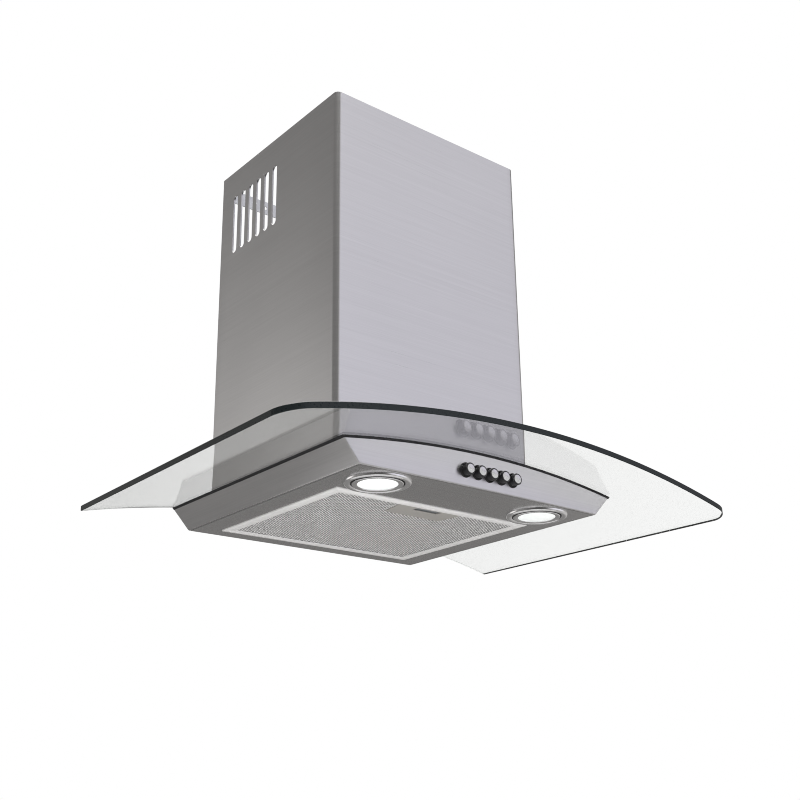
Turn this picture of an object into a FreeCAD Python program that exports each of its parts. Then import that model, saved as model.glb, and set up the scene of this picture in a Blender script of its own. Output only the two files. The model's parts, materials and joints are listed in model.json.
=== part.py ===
"""Wall-hung range hood with an arched glass canopy, sliding chimney covers and a blower.

Millimetres. +Z is up and the wall is the plane y = 0, with the hood on its -Y side.
The origin lies on the wall, midway between the two holes that the hood hangs from.
"""
import FreeCAD, Part
import math
import os

# ---------------------------------------------------------------- driving dimensions
hang_height = 150.0            # hanging holes above the crown of the canopy's underside

glass_width = 600.0            # canopy, at its front corners
glass_rear_width = 588.0
glass_depth = 410.0
glass_thickness = 6.0
glass_radius = 1270.0          # arch of the canopy's underside
glass_front_bow = 4.0
glass_corner_radius = 25.0
glass_wall_gap = 1.0

body_height = 37.0             # canopy underside at the crown down to the hood's underside
body_top_width = 370.0
body_top_depth = 330.0
body_bottom_width = 327.0
body_bottom_depth = 326.0
body_front_bow = 2.0
body_sheet = 0.8

gasket_thickness = 2.5         # rubber between the body and the canopy
gasket_width = 12.0
gasket_proud = 0.6             # how far the rubber shows past the body
box_gasket_thickness = 2.0     # rubber between the canopy and the motor box
fit_gap = 0.1                  # sheet edges that meet
free_gap = 0.3                 # pieces that pass or rest beside each other

chimney_width = 275.0
chimney_depth = 248.0
chimney_top = 426.0            # above the canopy's crown
chimney_sheet = 0.8
chimney_bend_radius = 4.0
chimney_return = 9.0           # rear flange turned in along the wall
chimney_nest_gap = 0.5
upper_cover_base = 45.0        # lower edge of the inner cover above the crown
slot_count = 6
slot_pitch = 17.7
slot_width = 9.3
slot_height = 79.0
slot_first_y = 33.0            # first slot's centre from the wall
slot_top_margin = 36.0
slot_widening = 1.0            # the inner cover's slots are wider by this

cover_clip_sheet = 1.0
cover_clip_base = 16.0         # above the crown
cover_clip_height = 20.0
cover_clip_width = 30.0

bracket_height = 18.0
bracket_below_top = 8.0
bracket_sheet = 1.2
bracket_ear = 24.0
bracket_hole_spacing = 150.0
bracket_hole_radius = 2.75

box_side_gap = 12.5            # from the outer cover's side to the motor box
box_front_gap = 23.0           # from the outer cover's front to the motor box
box_height = 215.0
throat_side = 15.0             # foot of the motor box beside the air throat
throat_front = 19.0
throat_rear = 16.0
box_sheet = 1.0
box_lip = 9.0
hang_hole_spacing = 200.0
hang_hole_radius = 4.0
safety_hole_drop = 90.0
safety_hole_radius = 2.75

canopy_screw_radius = 2.5
canopy_screw_inset = 7.5       # from the throat's side
canopy_screw_rear = 44.0       # rear pair from the throat's rear end
canopy_screw_front = 41.0      # front pair from the throat's front end
canopy_bush_radius = 5.6
canopy_head_radius = 5.0
canopy_head_height = 3.0
canopy_nut_height = 3.5

scroll_radius = 70.0           # from the shaft to the tongue
scroll_growth = 8.0            # each quarter turn's radius grows by this
scroll_width = 110.0
scroll_wall = 1.5
scroll_flange = 10.0
scroll_floor_gap = 20.0        # air space under the scroll
scroll_front_gap = 4.0         # from the motor box's front
inlet_radius = 52.0

impeller_radius = 62.0
impeller_inner_radius = 51.0
impeller_half_length = 46.0
impeller_blades = 30
blade_thickness = 0.9
blade_angle = 32.0
rim_length = 3.0
hub_radius = 9.0
hub_length = 16.0
shaft_radius = 4.0
shaft_running_gap = 0.05

motor_radius = 42.0
motor_start = 12.0
motor_length = 54.0
motor_edge_round = 4.0
motor_arm_count = 3
motor_arm_width = 18.0
motor_plate = 2.0
motor_mount_radius = 6.0
motor_mount_edge = 3.0         # rubber mounts from the air inlet's edge

collar_radius = 74.5
collar_wall = 2.0
collar_height = 60.0
collar_flange_radius = 86.0
collar_flange = 3.0
collar_rim = 2.0
flap_height = 22.0             # pivot above the collar's foot
flap_thickness = 1.5
flap_edge_gap = 0.7
flap_pivot_offset = 3.0
flap_barrel_radius = 2.2
flap_pin_radius = 1.5
flap_pin_gap = 0.05

small_screw_radius = 2.0
small_screw_length = 8.5
small_head_radius = 3.6
small_head_height = 2.4
small_screw_gap = 0.2

capacitor_radius = 17.0
capacitor_length = 55.0
capacitor_side = 30.0          # its axis from the motor box's side
capacitor_rear = 60.0          # its axis from the wall
capacitor_stud_radius = 4.0
capacitor_stud = 9.0
capacitor_edge_round = 2.0
capacitor_nut_radius = 7.0
capacitor_nut_height = 5.0

terminal_width = 70.0
terminal_depth = 28.0
terminal_height = 32.0
terminal_wall = 2.0
terminal_lid = 2.0
terminal_edge = 10.0           # from the motor box's side
terminal_front_edge = 5.0
gland_radius = 8.0
gland_neck_radius = 6.0
gland_bore_radius = 4.0
gland_height = 16.0
gland_neck = 6.0
gland_edge = 14.0
driver_width = 70.0
driver_height = 22.0
driver_corner_radius = 3.0

lamp_x = 111.0
lamp_y = 284.0                 # from the wall
lamp_bezel_radius = 34.0
lamp_bezel_height = 3.0
lamp_bevel = 2.0
lamp_hole_radius = 29.5
lamp_cup_radius = 29.0
lamp_cup_height = 17.0
lamp_cup_wall = 1.5
lens_radius = 22.0
lens_thickness = 2.0
lens_recess = 0.8
led_radius = 18.0
led_thickness = 1.6
led_depth = 9.0
clip_width = 8.0
clip_thickness = 0.6
clip_reach = 8.0
clip_rise = 12.0

button_count = 5
button_pitch = 16.3
button_radius = 6.2
button_proud = 8.0
button_height = 16.0           # axis above the hood's underside
button_travel = 3.0
button_edge_round = 0.8
collar_ring_radius = 7.8
collar_ring_proud = 1.2
collar_neck_radius = 7.1
switch_length = 92.0
switch_height = 20.0
switch_depth = 30.0
switch_wall = 1.5
switch_standoff = 3.0          # behind the fascia
switch_ear = 10.0
switch_ear_thickness = 2.5
stud_radius = 1.5
stud_nut_radius = 3.0
stud_nut_height = 2.4
button_spring_radius = 3.6
button_spring_wire = 0.7
button_spring_turns = 4
button_spring_pressed = 15.3   # a spring's length with its button pressed

filter_width = 267.0
filter_depth = 223.0
filter_rear = 22.5             # from the wall
filter_thickness = 9.0
filter_proud = 1.0             # frame below the hood's underside
filter_rail = 12.0
filter_skin = 0.8
filter_gap = 0.8
filter_mesh_sheet = 0.6
filter_core_sheet = 2.0
mesh_columns = 19
mesh_rows = 15
mesh_opening = 0.8             # opening's share of the pitch
pivot_offset = 0.4
tab_width = 26.0
tab_spacing = 170.0
tab_reach = 5.6
tab_thickness = 1.2
tab_lift = 0.4

latch_width = 85.0
latch_depth = 32.7
latch_taper = 4.3              # each side is this much narrower at the back
latch_height = 7.6
latch_front_wall = 11.0        # frame left in front of the latch
latch_slide_width = 34.0
latch_slide_thickness = 3.0
latch_floor = 1.6              # plate under the sliding bolt
latch_bolt_width = 16.0
latch_slot_depth = 9.4
latch_slot_front = 1.9         # slot's front edge behind the latch plate's front
latch_rib = 1.5
latch_rib_drop = 1.4
latch_travel = 5.0
latch_back_wall = 2.5
latch_spring_pressed = 4.0     # springs' length with the latch pulled right back
latch_spring_radius = 1.1
latch_spring_wire = 0.4
latch_spring_turns = 5
latch_spring_spacing = 20.0

# ---------------------------------------------------------------- places that follow
crown_z = -hang_height
underside_z = crown_z - body_height
arch_z = crown_z - glass_radius                 # axis of the arch, along Y
glass_top_radius = glass_radius + glass_thickness
deck_top_radius = glass_radius - gasket_thickness
box_foot_radius = glass_top_radius + box_gasket_thickness
chimney_top_z = crown_z + chimney_top
box_top_z = crown_z + glass_thickness + box_gasket_thickness + box_height
lid_top_z = box_top_z + box_sheet
box_width = chimney_width - 2 * box_side_gap
box_depth = chimney_depth - box_front_gap
throat_width = box_width - 2 * throat_side
throat_y0 = -(box_depth - throat_front)
shaft_y = -(box_depth - box_sheet - scroll_front_gap - scroll_radius)
motor_mount_ring = inlet_radius + motor_mount_edge + motor_mount_radius
capacitor_x = -(box_width / 2 - capacitor_side)
capacitor_y = -capacitor_rear
shaft_z = (crown_z + glass_thickness + box_gasket_thickness + box_sheet + scroll_floor_gap
           + scroll_radius + scroll_growth)
outlet_depth = 3 * scroll_growth + scroll_radius    # from the tongue to the scroll's back
outlet_y = shaft_y + outlet_depth / 2
flap_z = lid_top_z + flap_height
button_z = underside_z + button_height
filter_front_y = -(filter_rear + filter_depth)
filter_bottom_z = underside_z - filter_proud
filter_top_z = filter_bottom_z + filter_thickness
reach = 800.0                                   # longer than anything it cuts


# ---------------------------------------------------------------- shared shapes
def vec(x, y, z):
    return FreeCAD.Vector(x, y, z)


def slab(x0, x1, y0, y1, z0, z1):
    return Part.makeBox(x1 - x0, y1 - y0, z1 - z0, vec(x0, y0, z0))


def rod(radius, start, direction, length):
    return Part.makeCylinder(radius, length, start, direction)


def prism(points, direction):
    """A polygon swept along a direction."""
    wire = Part.makePolygon(list(points) + [points[0]])
    return Part.Face(wire).extrude(direction)


def fuse(shapes):
    joined = shapes[0].multiFuse(shapes[1:]) if len(shapes) > 1 else shapes[0]
    return joined.removeSplitter()


def upright_edges(shape):
    return [e for e in shape.Edges if abs(e.Vertexes[0].Z - e.Vertexes[-1].Z) > 1]


def circles(shape, radius):
    """The full round edges of this radius, lowest first."""
    found = [e for e in shape.Edges if abs(e.Length - 2 * math.pi * radius) < 0.1]
    return sorted(found, key=lambda e: e.CenterOfMass.z)


def arch_solid(radius):
    """Everything under the arch of this radius."""
    return rod(radius, vec(0, reach / 2, arch_z), vec(0, -1, 0), 2 * reach)


def under_arch(shape, radius):
    return shape.common(arch_solid(radius))


def over_arch(shape, radius):
    return shape.cut(arch_solid(radius))


def onto_arch(shape, x):
    """Turns a shape that stands at the crown along the arch to a place x from the middle."""
    angle = math.degrees(math.asin(x / glass_radius))
    turned = shape.copy()
    turned.rotate(vec(0, 0, arch_z), vec(0, 1, 0), angle)
    return turned


def arch_point_z(radius, x):
    return arch_z + math.sqrt(radius ** 2 - x ** 2)


def save(name, shapes):
    """One STEP file for a node, of one solid or of a group of like solids."""
    group = shapes if isinstance(shapes, list) else [shapes]
    solids = [solid for shape in group for solid in shape.Solids]
    shape = solids[0] if len(solids) == 1 else Part.makeCompound(solids)
    shape.exportStep(os.path.join("parts", name + ".step"))
    state = "valid" if shape.isValid() else "INVALID"
    print(name, len(solids), "solids", round(shape.Volume), "mm3", state)


def coil(radius, wire, turns, start_y, length, x, z):
    """A compression spring along +Y, whose path is arcs of a quarter turn."""
    steps = 4 * turns

    def at(step):
        angle = step * math.pi / 2
        y = start_y + wire + (length - 2 * wire) * step / steps
        return vec(x + radius * math.cos(angle), y, z + radius * math.sin(angle))

    arcs = [Part.Arc(at(i), at(i + 0.5), at(i + 1)).toShape() for i in range(steps)]
    path = Part.Wire(arcs)
    first = path.Edges[0]
    section = Part.Wire(Part.makeCircle(wire, at(0), first.tangentAt(first.FirstParameter)))
    return path.makePipeShell([section], True, False)


def m4_screw(x, y, seat_z):
    """A pan-head screw that points down, its head on seat_z."""
    head = rod(small_head_radius, vec(x, y, seat_z), vec(0, 0, 1), small_head_height)
    shank = rod(small_screw_radius, vec(x, y, seat_z), vec(0, 0, -1), small_screw_length)
    return fuse([head, shank])


def m4_hole(x, y, z):
    """The clearance hole of such a screw, through whatever lies at z."""
    depth = 2 * small_screw_length
    return rod(small_screw_radius + small_screw_gap, vec(x, y, z - depth / 2), vec(0, 0, 1), depth)


# ---------------------------------------------------------------- canopy
def canopy_outline():
    """The canopy's plan as a prism, with its front corners rounded."""
    half = glass_width / 2
    rear_half = glass_rear_width / 2
    side_y = -(glass_depth - glass_front_bow)
    rear_y = -glass_wall_gap
    z = crown_z - 3 * body_height
    corners = [vec(-half, side_y, z), vec(half, side_y, z)]
    edges = [
        Part.makeLine(vec(-rear_half, rear_y, z), corners[0]),
        Part.Arc(corners[0], vec(0, -glass_depth, z), corners[1]).toShape(),
        Part.makeLine(corners[1], vec(rear_half, rear_y, z)),
        Part.makeLine(vec(rear_half, rear_y, z), vec(-rear_half, rear_y, z)),
    ]
    block = Part.Face(Part.Wire(edges)).extrude(vec(0, 0, 5 * body_height))
    front = [e for e in upright_edges(block) if e.Vertexes[0].Y < side_y / 2]
    return block.makeFillet(glass_corner_radius, front)


def throat_prism():
    """The air passage from the body up into the motor box."""
    half = throat_width / 2
    return slab(-half, half, throat_y0, -throat_rear, underside_z - 1, crown_z + 2 * body_height)


def canopy_screw_places():
    x = throat_width / 2 + canopy_screw_inset
    rows = (-throat_rear - canopy_screw_rear, throat_y0 + canopy_screw_front)
    return [(side * x, y) for side in (-1, 1) for y in rows]


def arch_rods(radius, inner, outer):
    """Rods square to the arch at each canopy screw, from one radius to another."""
    made = []
    for x, y in canopy_screw_places():
        made.append(onto_arch(rod(radius, vec(0, y, arch_z + inner), vec(0, 0, 1), outer - inner), x))
    return made


def make_glass():
    glass = over_arch(under_arch(canopy_outline(), glass_top_radius), glass_radius)
    glass = glass.cut(throat_prism())
    for hole in arch_rods(canopy_bush_radius + fit_gap, glass_radius - 5, glass_top_radius + 5):
        glass = glass.cut(hole)
    save("glass_canopy", glass)


def make_bushes():
    bushes = arch_rods(canopy_bush_radius, glass_radius + fit_gap, glass_top_radius - fit_gap)
    bores = arch_rods(canopy_screw_radius + fit_gap, glass_radius - 5, glass_top_radius + 5)
    save("glass_bushes", [bush.cut(bore) for bush, bore in zip(bushes, bores)])


def make_canopy_fasteners():
    seat = box_foot_radius + box_sheet
    end = deck_top_radius - body_sheet - canopy_nut_height - 1
    heads = arch_rods(canopy_head_radius, seat, seat + canopy_head_height)
    shanks = arch_rods(canopy_screw_radius, end, seat)
    screws = [fuse([head, shank]) for head, shank in zip(heads, shanks)]
    nut_top = deck_top_radius - body_sheet - fit_gap
    nuts = arch_rods(canopy_head_radius, nut_top - canopy_nut_height, nut_top)
    bores = arch_rods(canopy_screw_radius + fit_gap, nut_top - 2 * canopy_nut_height, nut_top + 1)
    save("canopy_fasteners", screws + [nut.cut(bore) for nut, bore in zip(nuts, bores)])


def make_gaskets():
    outer = body_prism(-gasket_proud)
    ring = over_arch(under_arch(outer.cut(body_prism(gasket_width)), glass_radius), deck_top_radius)
    save("glass_gasket", ring)
    holes = arch_rods(canopy_screw_radius + fit_gap, deck_top_radius - 5, box_foot_radius + 5)
    foot = box_block(0).cut(throat_prism())
    upper = over_arch(under_arch(foot, box_foot_radius), glass_top_radius)
    lower = over_arch(under_arch(foot, glass_radius), deck_top_radius)
    lower = lower.common(body_prism(gasket_width + 1))
    save("throat_gaskets", [cut_all(lower, holes), cut_all(upper, holes)])


def cut_all(shape, tools):
    for tool in tools:
        shape = shape.cut(tool)
    return shape


# ---------------------------------------------------------------- body
def body_half(z):
    """Half the body's width at a level: body_top_width is where its corners meet the canopy."""
    corner_height = arch_point_z(glass_radius, body_top_width / 2) - underside_z
    share = (z - underside_z) / corner_height
    return (body_bottom_width + share * (body_top_width - body_bottom_width)) / 2


def body_front(z):
    share = (z - underside_z) / body_height
    return body_bottom_depth + share * (body_top_depth - body_bottom_depth) - body_front_bow


def body_wire(z, inset, rear_y):
    half = body_half(z) - inset
    side_y = -(body_front(z) - inset)
    middle = vec(0, side_y - body_front_bow, z)
    edges = [
        Part.makeLine(vec(-half, rear_y, z), vec(-half, side_y, z)),
        Part.Arc(vec(-half, side_y, z), middle, vec(half, side_y, z)).toShape(),
        Part.makeLine(vec(half, side_y, z), vec(half, rear_y, z)),
        Part.makeLine(vec(half, rear_y, z), vec(-half, rear_y, z)),
    ]
    return Part.Wire(edges)


def body_block(inset, z0, z1, rear_y):
    """The body's tapered form between two levels, drawn in by an inset."""
    return Part.makeLoft([body_wire(z0, inset, rear_y), body_wire(z1, inset, rear_y)], True, True)


def body_prism(inset):
    """The body's tapered form from its underside to above its top, drawn in by an inset."""
    return body_block(inset, underside_z, crown_z + 5, -max(inset, 0))


def filter_opening(margin, z0, z1):
    half = filter_width / 2 + margin
    return slab(-half, half, filter_front_y - margin, -filter_rear + margin, z0, z1)


def lamp_places():
    return [("left", -lamp_x), ("right", lamp_x)]


def button_places():
    first = -button_pitch * (button_count - 1) / 2
    return [first + i * button_pitch for i in range(button_count)]


def fascia_y(z):
    """The fascia's outer face at the middle of the hood."""
    return -(body_front(z) + body_front_bow)


def make_body_shell():
    shell = body_block(0, underside_z, crown_z + 5, 0)
    shell = shell.cut(body_block(body_sheet, underside_z + body_sheet, crown_z + 6, 5))
    shell = under_arch(shell, deck_top_radius)
    shell = shell.cut(filter_opening(filter_gap, underside_z - 1, underside_z + 2))
    for _, x in lamp_places():
        shell = shell.cut(rod(lamp_hole_radius, vec(x, -lamp_y, underside_z - 1), vec(0, 0, 1), 5))
    for x in button_places():
        start = vec(x, fascia_y(button_z) - 5, button_z)
        shell = shell.cut(rod(collar_neck_radius + fit_gap, start, vec(0, 1, 0), 10))
    save("body_shell", shell)


def make_deck():
    deck = body_block(body_sheet + fit_gap, underside_z + body_sheet, crown_z + 5, -body_sheet - fit_gap)
    deck = over_arch(under_arch(deck, deck_top_radius), deck_top_radius - body_sheet)
    deck = deck.cut(throat_prism())
    holes = arch_rods(canopy_screw_radius + fit_gap, deck_top_radius - 5, deck_top_radius + 5)
    save("body_deck", cut_all(deck, holes))


def make_rear_plate():
    plate = body_block(body_sheet + fit_gap, underside_z + body_sheet + fit_gap, crown_z + 5, 0)
    plate = plate.common(slab(-reach, reach, -body_sheet, 0, -reach, reach))
    save("body_rear_plate", under_arch(plate, deck_top_radius))


# ---------------------------------------------------------------- chimney covers
def cover(width, depth, rear_y, z0, z1, bend, lip):
    """A folded cover, open at the back, with its rear flanges turned in."""
    def block(inset, rear):
        half = width / 2 - inset
        box = slab(-half, half, -(depth - inset), rear, z0, z1)
        front = [e for e in upright_edges(box) if e.Vertexes[0].Y < rear_y - depth / 2]
        return box.makeFillet(bend - inset, front)

    shell = block(0, rear_y).cut(block(chimney_sheet, rear_y - chimney_sheet))
    half_gap = width / 2 - lip
    return shell.cut(slab(-half_gap, half_gap, rear_y - 2 * chimney_sheet, rear_y + 1, z0 - 1, z1 + 1))


def side_slots(widening):
    """The vent slots, each one right through both sides of a cover."""
    made = []
    radius = (slot_width + widening) / 2
    z1 = chimney_top_z - slot_top_margin + widening / 2
    z0 = z1 - slot_height - widening
    for i in range(slot_count):
        y = -(slot_first_y + i * slot_pitch)
        straight = slab(-reach, reach, y - radius, y + radius, z0 + radius, z1 - radius)
        ends = [vec(-reach, y, z) for z in (z0 + radius, z1 - radius)]
        made.append(fuse([straight] + [rod(radius, end, vec(1, 0, 0), 2 * reach) for end in ends]))
    return made


nest = chimney_sheet + chimney_nest_gap
upper_width = chimney_width - 2 * nest
upper_depth = chimney_depth - nest
upper_rear_y = -nest


def make_chimney():
    lower = cover(chimney_width, chimney_depth, 0, crown_z - body_height, chimney_top_z,
                  chimney_bend_radius, chimney_return)
    lower = over_arch(lower, glass_top_radius + free_gap)
    save("chimney_lower", cut_all(lower, side_slots(0)))
    upper = cover(upper_width, upper_depth, upper_rear_y, crown_z + upper_cover_base, chimney_top_z,
                  chimney_bend_radius - chimney_sheet, chimney_return)
    save("chimney_upper", cut_all(upper, side_slots(slot_widening)))


def make_wall_bracket():
    """A strap on the wall whose ears stand inside the inner cover's sides."""
    ear_x = upper_width / 2 - chimney_sheet - free_gap
    step_x = upper_width / 2 - chimney_return - 2 * free_gap
    step_y = upper_rear_y - chimney_sheet - 2 * free_gap
    t = bracket_sheet
    z = chimney_top_z - bracket_below_top - bracket_height
    ear_y = step_y - bracket_ear
    right = [(step_x, 0), (step_x, step_y), (ear_x, step_y), (ear_x, ear_y), (ear_x - t, ear_y),
             (ear_x - t, step_y - t), (step_x - t, step_y - t), (step_x - t, -t)]
    left = [(-x, y) for x, y in reversed(right)]
    strap = prism([vec(x, y, z) for x, y in right + left], vec(0, 0, bracket_height))
    for side in (-1, 1):
        start = vec(side * bracket_hole_spacing / 2, -reach / 2, z + bracket_height / 2)
        strap = strap.cut(rod(bracket_hole_radius, start, vec(0, 1, 0), reach))
    save("chimney_wall_bracket", strap)


def make_cover_clips():
    """Spring clips on the motor box that grip the outer cover from inside."""
    base_x = box_width / 2
    tip_x = chimney_width / 2 - chimney_sheet - free_gap
    t = cover_clip_sheet
    y0 = -(box_depth + cover_clip_width) / 2
    z0 = crown_z + cover_clip_base
    z1 = z0 + cover_clip_height
    profile = [(base_x, z0), (base_x + t, z0), (base_x + t, z1 - t), (tip_x - t, z1 - t), (tip_x - t, z0),
               (tip_x, z0), (tip_x, z1), (base_x, z1)]
    made = []
    for side in (-1, 1):
        made.append(prism([vec(side * x, y0, z) for x, z in profile], vec(0, cover_clip_width, 0)))
    save("cover_clips", made)


# ---------------------------------------------------------------- motor box
def box_block(inset):
    half = box_width / 2 - inset
    return slab(-half, half, -(box_depth - inset), -inset, underside_z, box_top_z)


def lid_screw_places():
    x = box_width / 2 - box_lip / 2
    front, middle, rear = box_depth - box_lip / 2, box_depth / 2, box_lip / 2
    return [(side * x, -y) for side in (-1, 1) for y in (front, middle, rear)]


def collar_screw_places():
    x = scroll_width / 2 + scroll_flange / 2
    y = outlet_depth / 2 + scroll_flange / 2
    return [(i * x, outlet_y + j * y) for i in (-1, 1) for j in (-1, 1)]


def make_motor_box():
    walls = over_arch(box_block(0).cut(box_block(box_sheet)), box_foot_radius)
    flange = box_block(0).cut(throat_prism())
    flange = over_arch(under_arch(flange, box_foot_radius + box_sheet), box_foot_radius)
    lip = box_block(0).cut(box_block(box_lip))
    lip = lip.common(slab(-reach, reach, -reach, 0, box_top_z - box_sheet, box_top_z))
    box = fuse([walls, flange, lip])
    for x, y in lid_screw_places():
        box = box.cut(m4_hole(x, y, box_top_z))
    box = cut_all(box, arch_rods(canopy_screw_radius + fit_gap, box_foot_radius - 5, box_foot_radius + 5))
    for side in (-1, 1):
        x = side * hang_hole_spacing / 2
        box = box.cut(rod(hang_hole_radius, vec(x, -5, 0), vec(0, 1, 0), 10))
        box = box.cut(rod(safety_hole_radius, vec(x, -5, -safety_hole_drop), vec(0, 1, 0), 10))
    save("motor_box", box)


def make_motor_box_lid():
    lid = slab(-box_width / 2, box_width / 2, -box_depth, 0, box_top_z, lid_top_z)
    outlet = slab(-scroll_width / 2 + scroll_wall, scroll_width / 2 - scroll_wall,
                  shaft_y + scroll_wall, shaft_y + outlet_depth - scroll_wall, box_top_z - 1, lid_top_z + 1)
    lid = lid.cut(outlet)
    for x, y in lid_screw_places() + collar_screw_places():
        lid = lid.cut(m4_hole(x, y, box_top_z))
    stud_start = vec(capacitor_x, capacitor_y, box_top_z - 1)
    save("motor_box_lid", lid.cut(rod(capacitor_stud_radius + fit_gap, stud_start, vec(0, 0, 1), 5)))


def make_box_fasteners():
    """The screws of the lid and of the outlet flange, and the capacitor's nut."""
    screws = [m4_screw(x, y, lid_top_z) for x, y in lid_screw_places()]
    screws += [m4_screw(x, y, lid_top_z + collar_flange) for x, y in collar_screw_places()]
    seat = vec(capacitor_x, capacitor_y, lid_top_z)
    turns = [i * math.pi / 3 for i in range(6)]
    hexagon = [seat + vec(math.cos(a), math.sin(a), 0) * capacitor_nut_radius for a in turns]
    bore = rod(capacitor_stud_radius + fit_gap, seat, vec(0, 0, 1), capacitor_stud)
    save("box_fasteners", screws + [prism(hexagon, vec(0, 0, capacitor_nut_height)).cut(bore)])


# ---------------------------------------------------------------- blower
def scroll_block(inset, x0, x1):
    """The scroll: three quarter turns of growing radius, and a straight outlet up to the lid."""
    r1 = scroll_radius - inset
    r2 = scroll_radius + scroll_growth - inset
    r3 = scroll_radius + 2 * scroll_growth - inset
    g = scroll_growth
    diagonal = math.sqrt(0.5)

    def at(y, z):
        return vec(x0, shaft_y + y, shaft_z + z)

    top = box_top_z - shaft_z
    tongue_z = math.sqrt(r1 ** 2 - inset ** 2)
    rear = g + r3
    edges = [
        Part.makeLine(at(inset, top), at(inset, tongue_z)),
        Part.Arc(at(inset, tongue_z), at(-r1 * diagonal, r1 * diagonal), at(-r1, 0)).toShape(),
        Part.Arc(at(-r1, 0), at(g - r2 * diagonal, -r2 * diagonal), at(g, -r2)).toShape(),
        Part.Arc(at(g, -r2), at(g + r3 * diagonal, g - r3 * diagonal), at(rear, g)).toShape(),
        Part.makeLine(at(rear, g), at(rear, top)),
        Part.makeLine(at(rear, top), at(inset, top)),
    ]
    return Part.Face(Part.Wire(edges)).extrude(vec(x1 - x0, 0, 0))


def make_scroll():
    half = scroll_width / 2
    inner = scroll_block(scroll_wall, -half + scroll_wall, half - scroll_wall)
    flange = slab(-half - scroll_flange, half + scroll_flange, shaft_y - scroll_flange,
                  shaft_y + outlet_depth + scroll_flange, box_top_z - scroll_wall, box_top_z)
    housing = fuse([scroll_block(0, -half, half), flange]).cut(inner)
    housing = housing.cut(rod(inlet_radius, vec(-reach, shaft_y, shaft_z), vec(1, 0, 0), 2 * reach))
    for x, y in collar_screw_places():
        housing = housing.cut(m4_hole(x, y, box_top_z))
    for name, x0, x1 in (("left", -reach, 0), ("right", 0, reach)):
        side = slab(x0, x1, -reach, reach, -reach, reach)
        save("scroll_housing_" + name, housing.common(side))


def make_impeller():
    axis = vec(1, 0, 0)
    half = impeller_half_length

    def ring(outer, inner, x0, length):
        start = vec(x0, shaft_y, shaft_z)
        return rod(outer, start, axis, length).cut(rod(inner, start, axis, length))

    pieces = [ring(impeller_radius, impeller_inner_radius, -half, rim_length),
              ring(impeller_radius, impeller_inner_radius, half - rim_length, rim_length)]
    hub_bore = shaft_radius + shaft_running_gap
    pieces.append(ring(impeller_radius - 1, hub_bore, -1.0, 2.0))
    pieces.append(ring(hub_radius, hub_bore, -hub_length / 2, hub_length))
    middle = (impeller_radius + impeller_inner_radius) / 2
    span = impeller_radius - impeller_inner_radius - 1
    for i in range(impeller_blades):
        blade = slab(-half, half, middle - span / 2, middle + span / 2,
                     -blade_thickness / 2, blade_thickness / 2)
        blade.rotate(vec(0, middle, 0), axis, blade_angle)
        blade.rotate(vec(0, 0, 0), axis, i * 360 / impeller_blades)
        blade.translate(vec(0, shaft_y, shaft_z))
        pieces.append(blade)
    save("impeller", fuse(pieces))
    save("impeller_shaft", rod(shaft_radius, vec(-hub_length / 2 - 2, shaft_y, shaft_z), axis,
                               hub_length / 2 + motor_start + motor_length - 2))


def make_motor():
    axis = vec(1, 0, 0)
    end = motor_start + motor_length
    motor = rod(motor_radius, vec(motor_start, shaft_y, shaft_z), axis, motor_length)
    motor = motor.makeFillet(motor_edge_round, circles(motor, motor_radius))
    bore_radius = shaft_radius + shaft_running_gap
    motor = motor.cut(rod(bore_radius, vec(motor_start - 1, shaft_y, shaft_z), axis, motor_length - 1))
    save("motor", motor)
    plate = rod(motor_radius - motor_edge_round, vec(end, shaft_y, shaft_z), axis, motor_plate)
    arms, mounts = [], []
    for i in range(motor_arm_count):
        angle = 90 + i * 360 / motor_arm_count
        arm = slab(end, end + motor_plate, 0, motor_mount_ring + motor_mount_radius,
                   -motor_arm_width / 2, motor_arm_width / 2)
        mount_start = vec(scroll_width / 2, motor_mount_ring, 0)
        mount = rod(motor_mount_radius, mount_start, axis, end - scroll_width / 2)
        for shape, group in ((arm, arms), (mount, mounts)):
            shape.rotate(vec(0, 0, 0), axis, angle)
            shape.translate(vec(0, shaft_y, shaft_z))
            group.append(shape)
    save("motor_bracket", fuse([plate] + arms))
    save("motor_mounts", mounts)


def make_capacitor():
    top = vec(capacitor_x, capacitor_y, box_top_z)
    can = rod(capacitor_radius, top - vec(0, 0, capacitor_length), vec(0, 0, 1), capacitor_length)
    can = can.makeFillet(capacitor_edge_round, circles(can, capacitor_radius)[:1])
    stud = rod(capacitor_stud_radius, top, vec(0, 0, 1), capacitor_stud)
    save("capacitor", fuse([can, stud]))


# ---------------------------------------------------------------- outlet collar and flaps
def make_collar():
    """The duct's tube, which stands on a screwed flange."""
    foot = vec(0, outlet_y, lid_top_z)
    up = vec(0, 0, 1)
    inner = collar_radius - collar_wall
    flange = rod(collar_flange_radius, foot, up, collar_flange).cut(rod(inner, foot, up, collar_flange))
    for x, y in collar_screw_places():
        flange = flange.cut(m4_hole(x, y, lid_top_z))
    save("collar_flange", flange)
    seat = foot + vec(0, 0, collar_flange)
    tube_height = collar_height - collar_flange
    collar = rod(collar_radius, seat, up, tube_height).cut(rod(inner, seat, up, tube_height))
    rim_top = flap_z - flap_thickness / 2 - free_gap
    rim_start = vec(0, outlet_y, rim_top - collar_rim)
    rim = rod(inner + collar_wall / 2, rim_start, up, collar_rim)
    rim = rim.cut(rod(inner - collar_rim, rim_start, up, collar_rim))
    notch = flap_pivot_offset + 2 * flap_barrel_radius
    rim = rim.cut(slab(-notch, notch, -reach, reach, rim_start.z - 1, rim_top + 1))
    collar = fuse([collar, rim])
    for side in (-1, 1):
        start = vec(side * flap_pivot_offset, outlet_y - reach / 2, flap_z)
        collar = collar.cut(rod(flap_pin_radius + flap_pin_gap, start, vec(0, 1, 0), reach))
    save("outlet_collar", collar)


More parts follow.
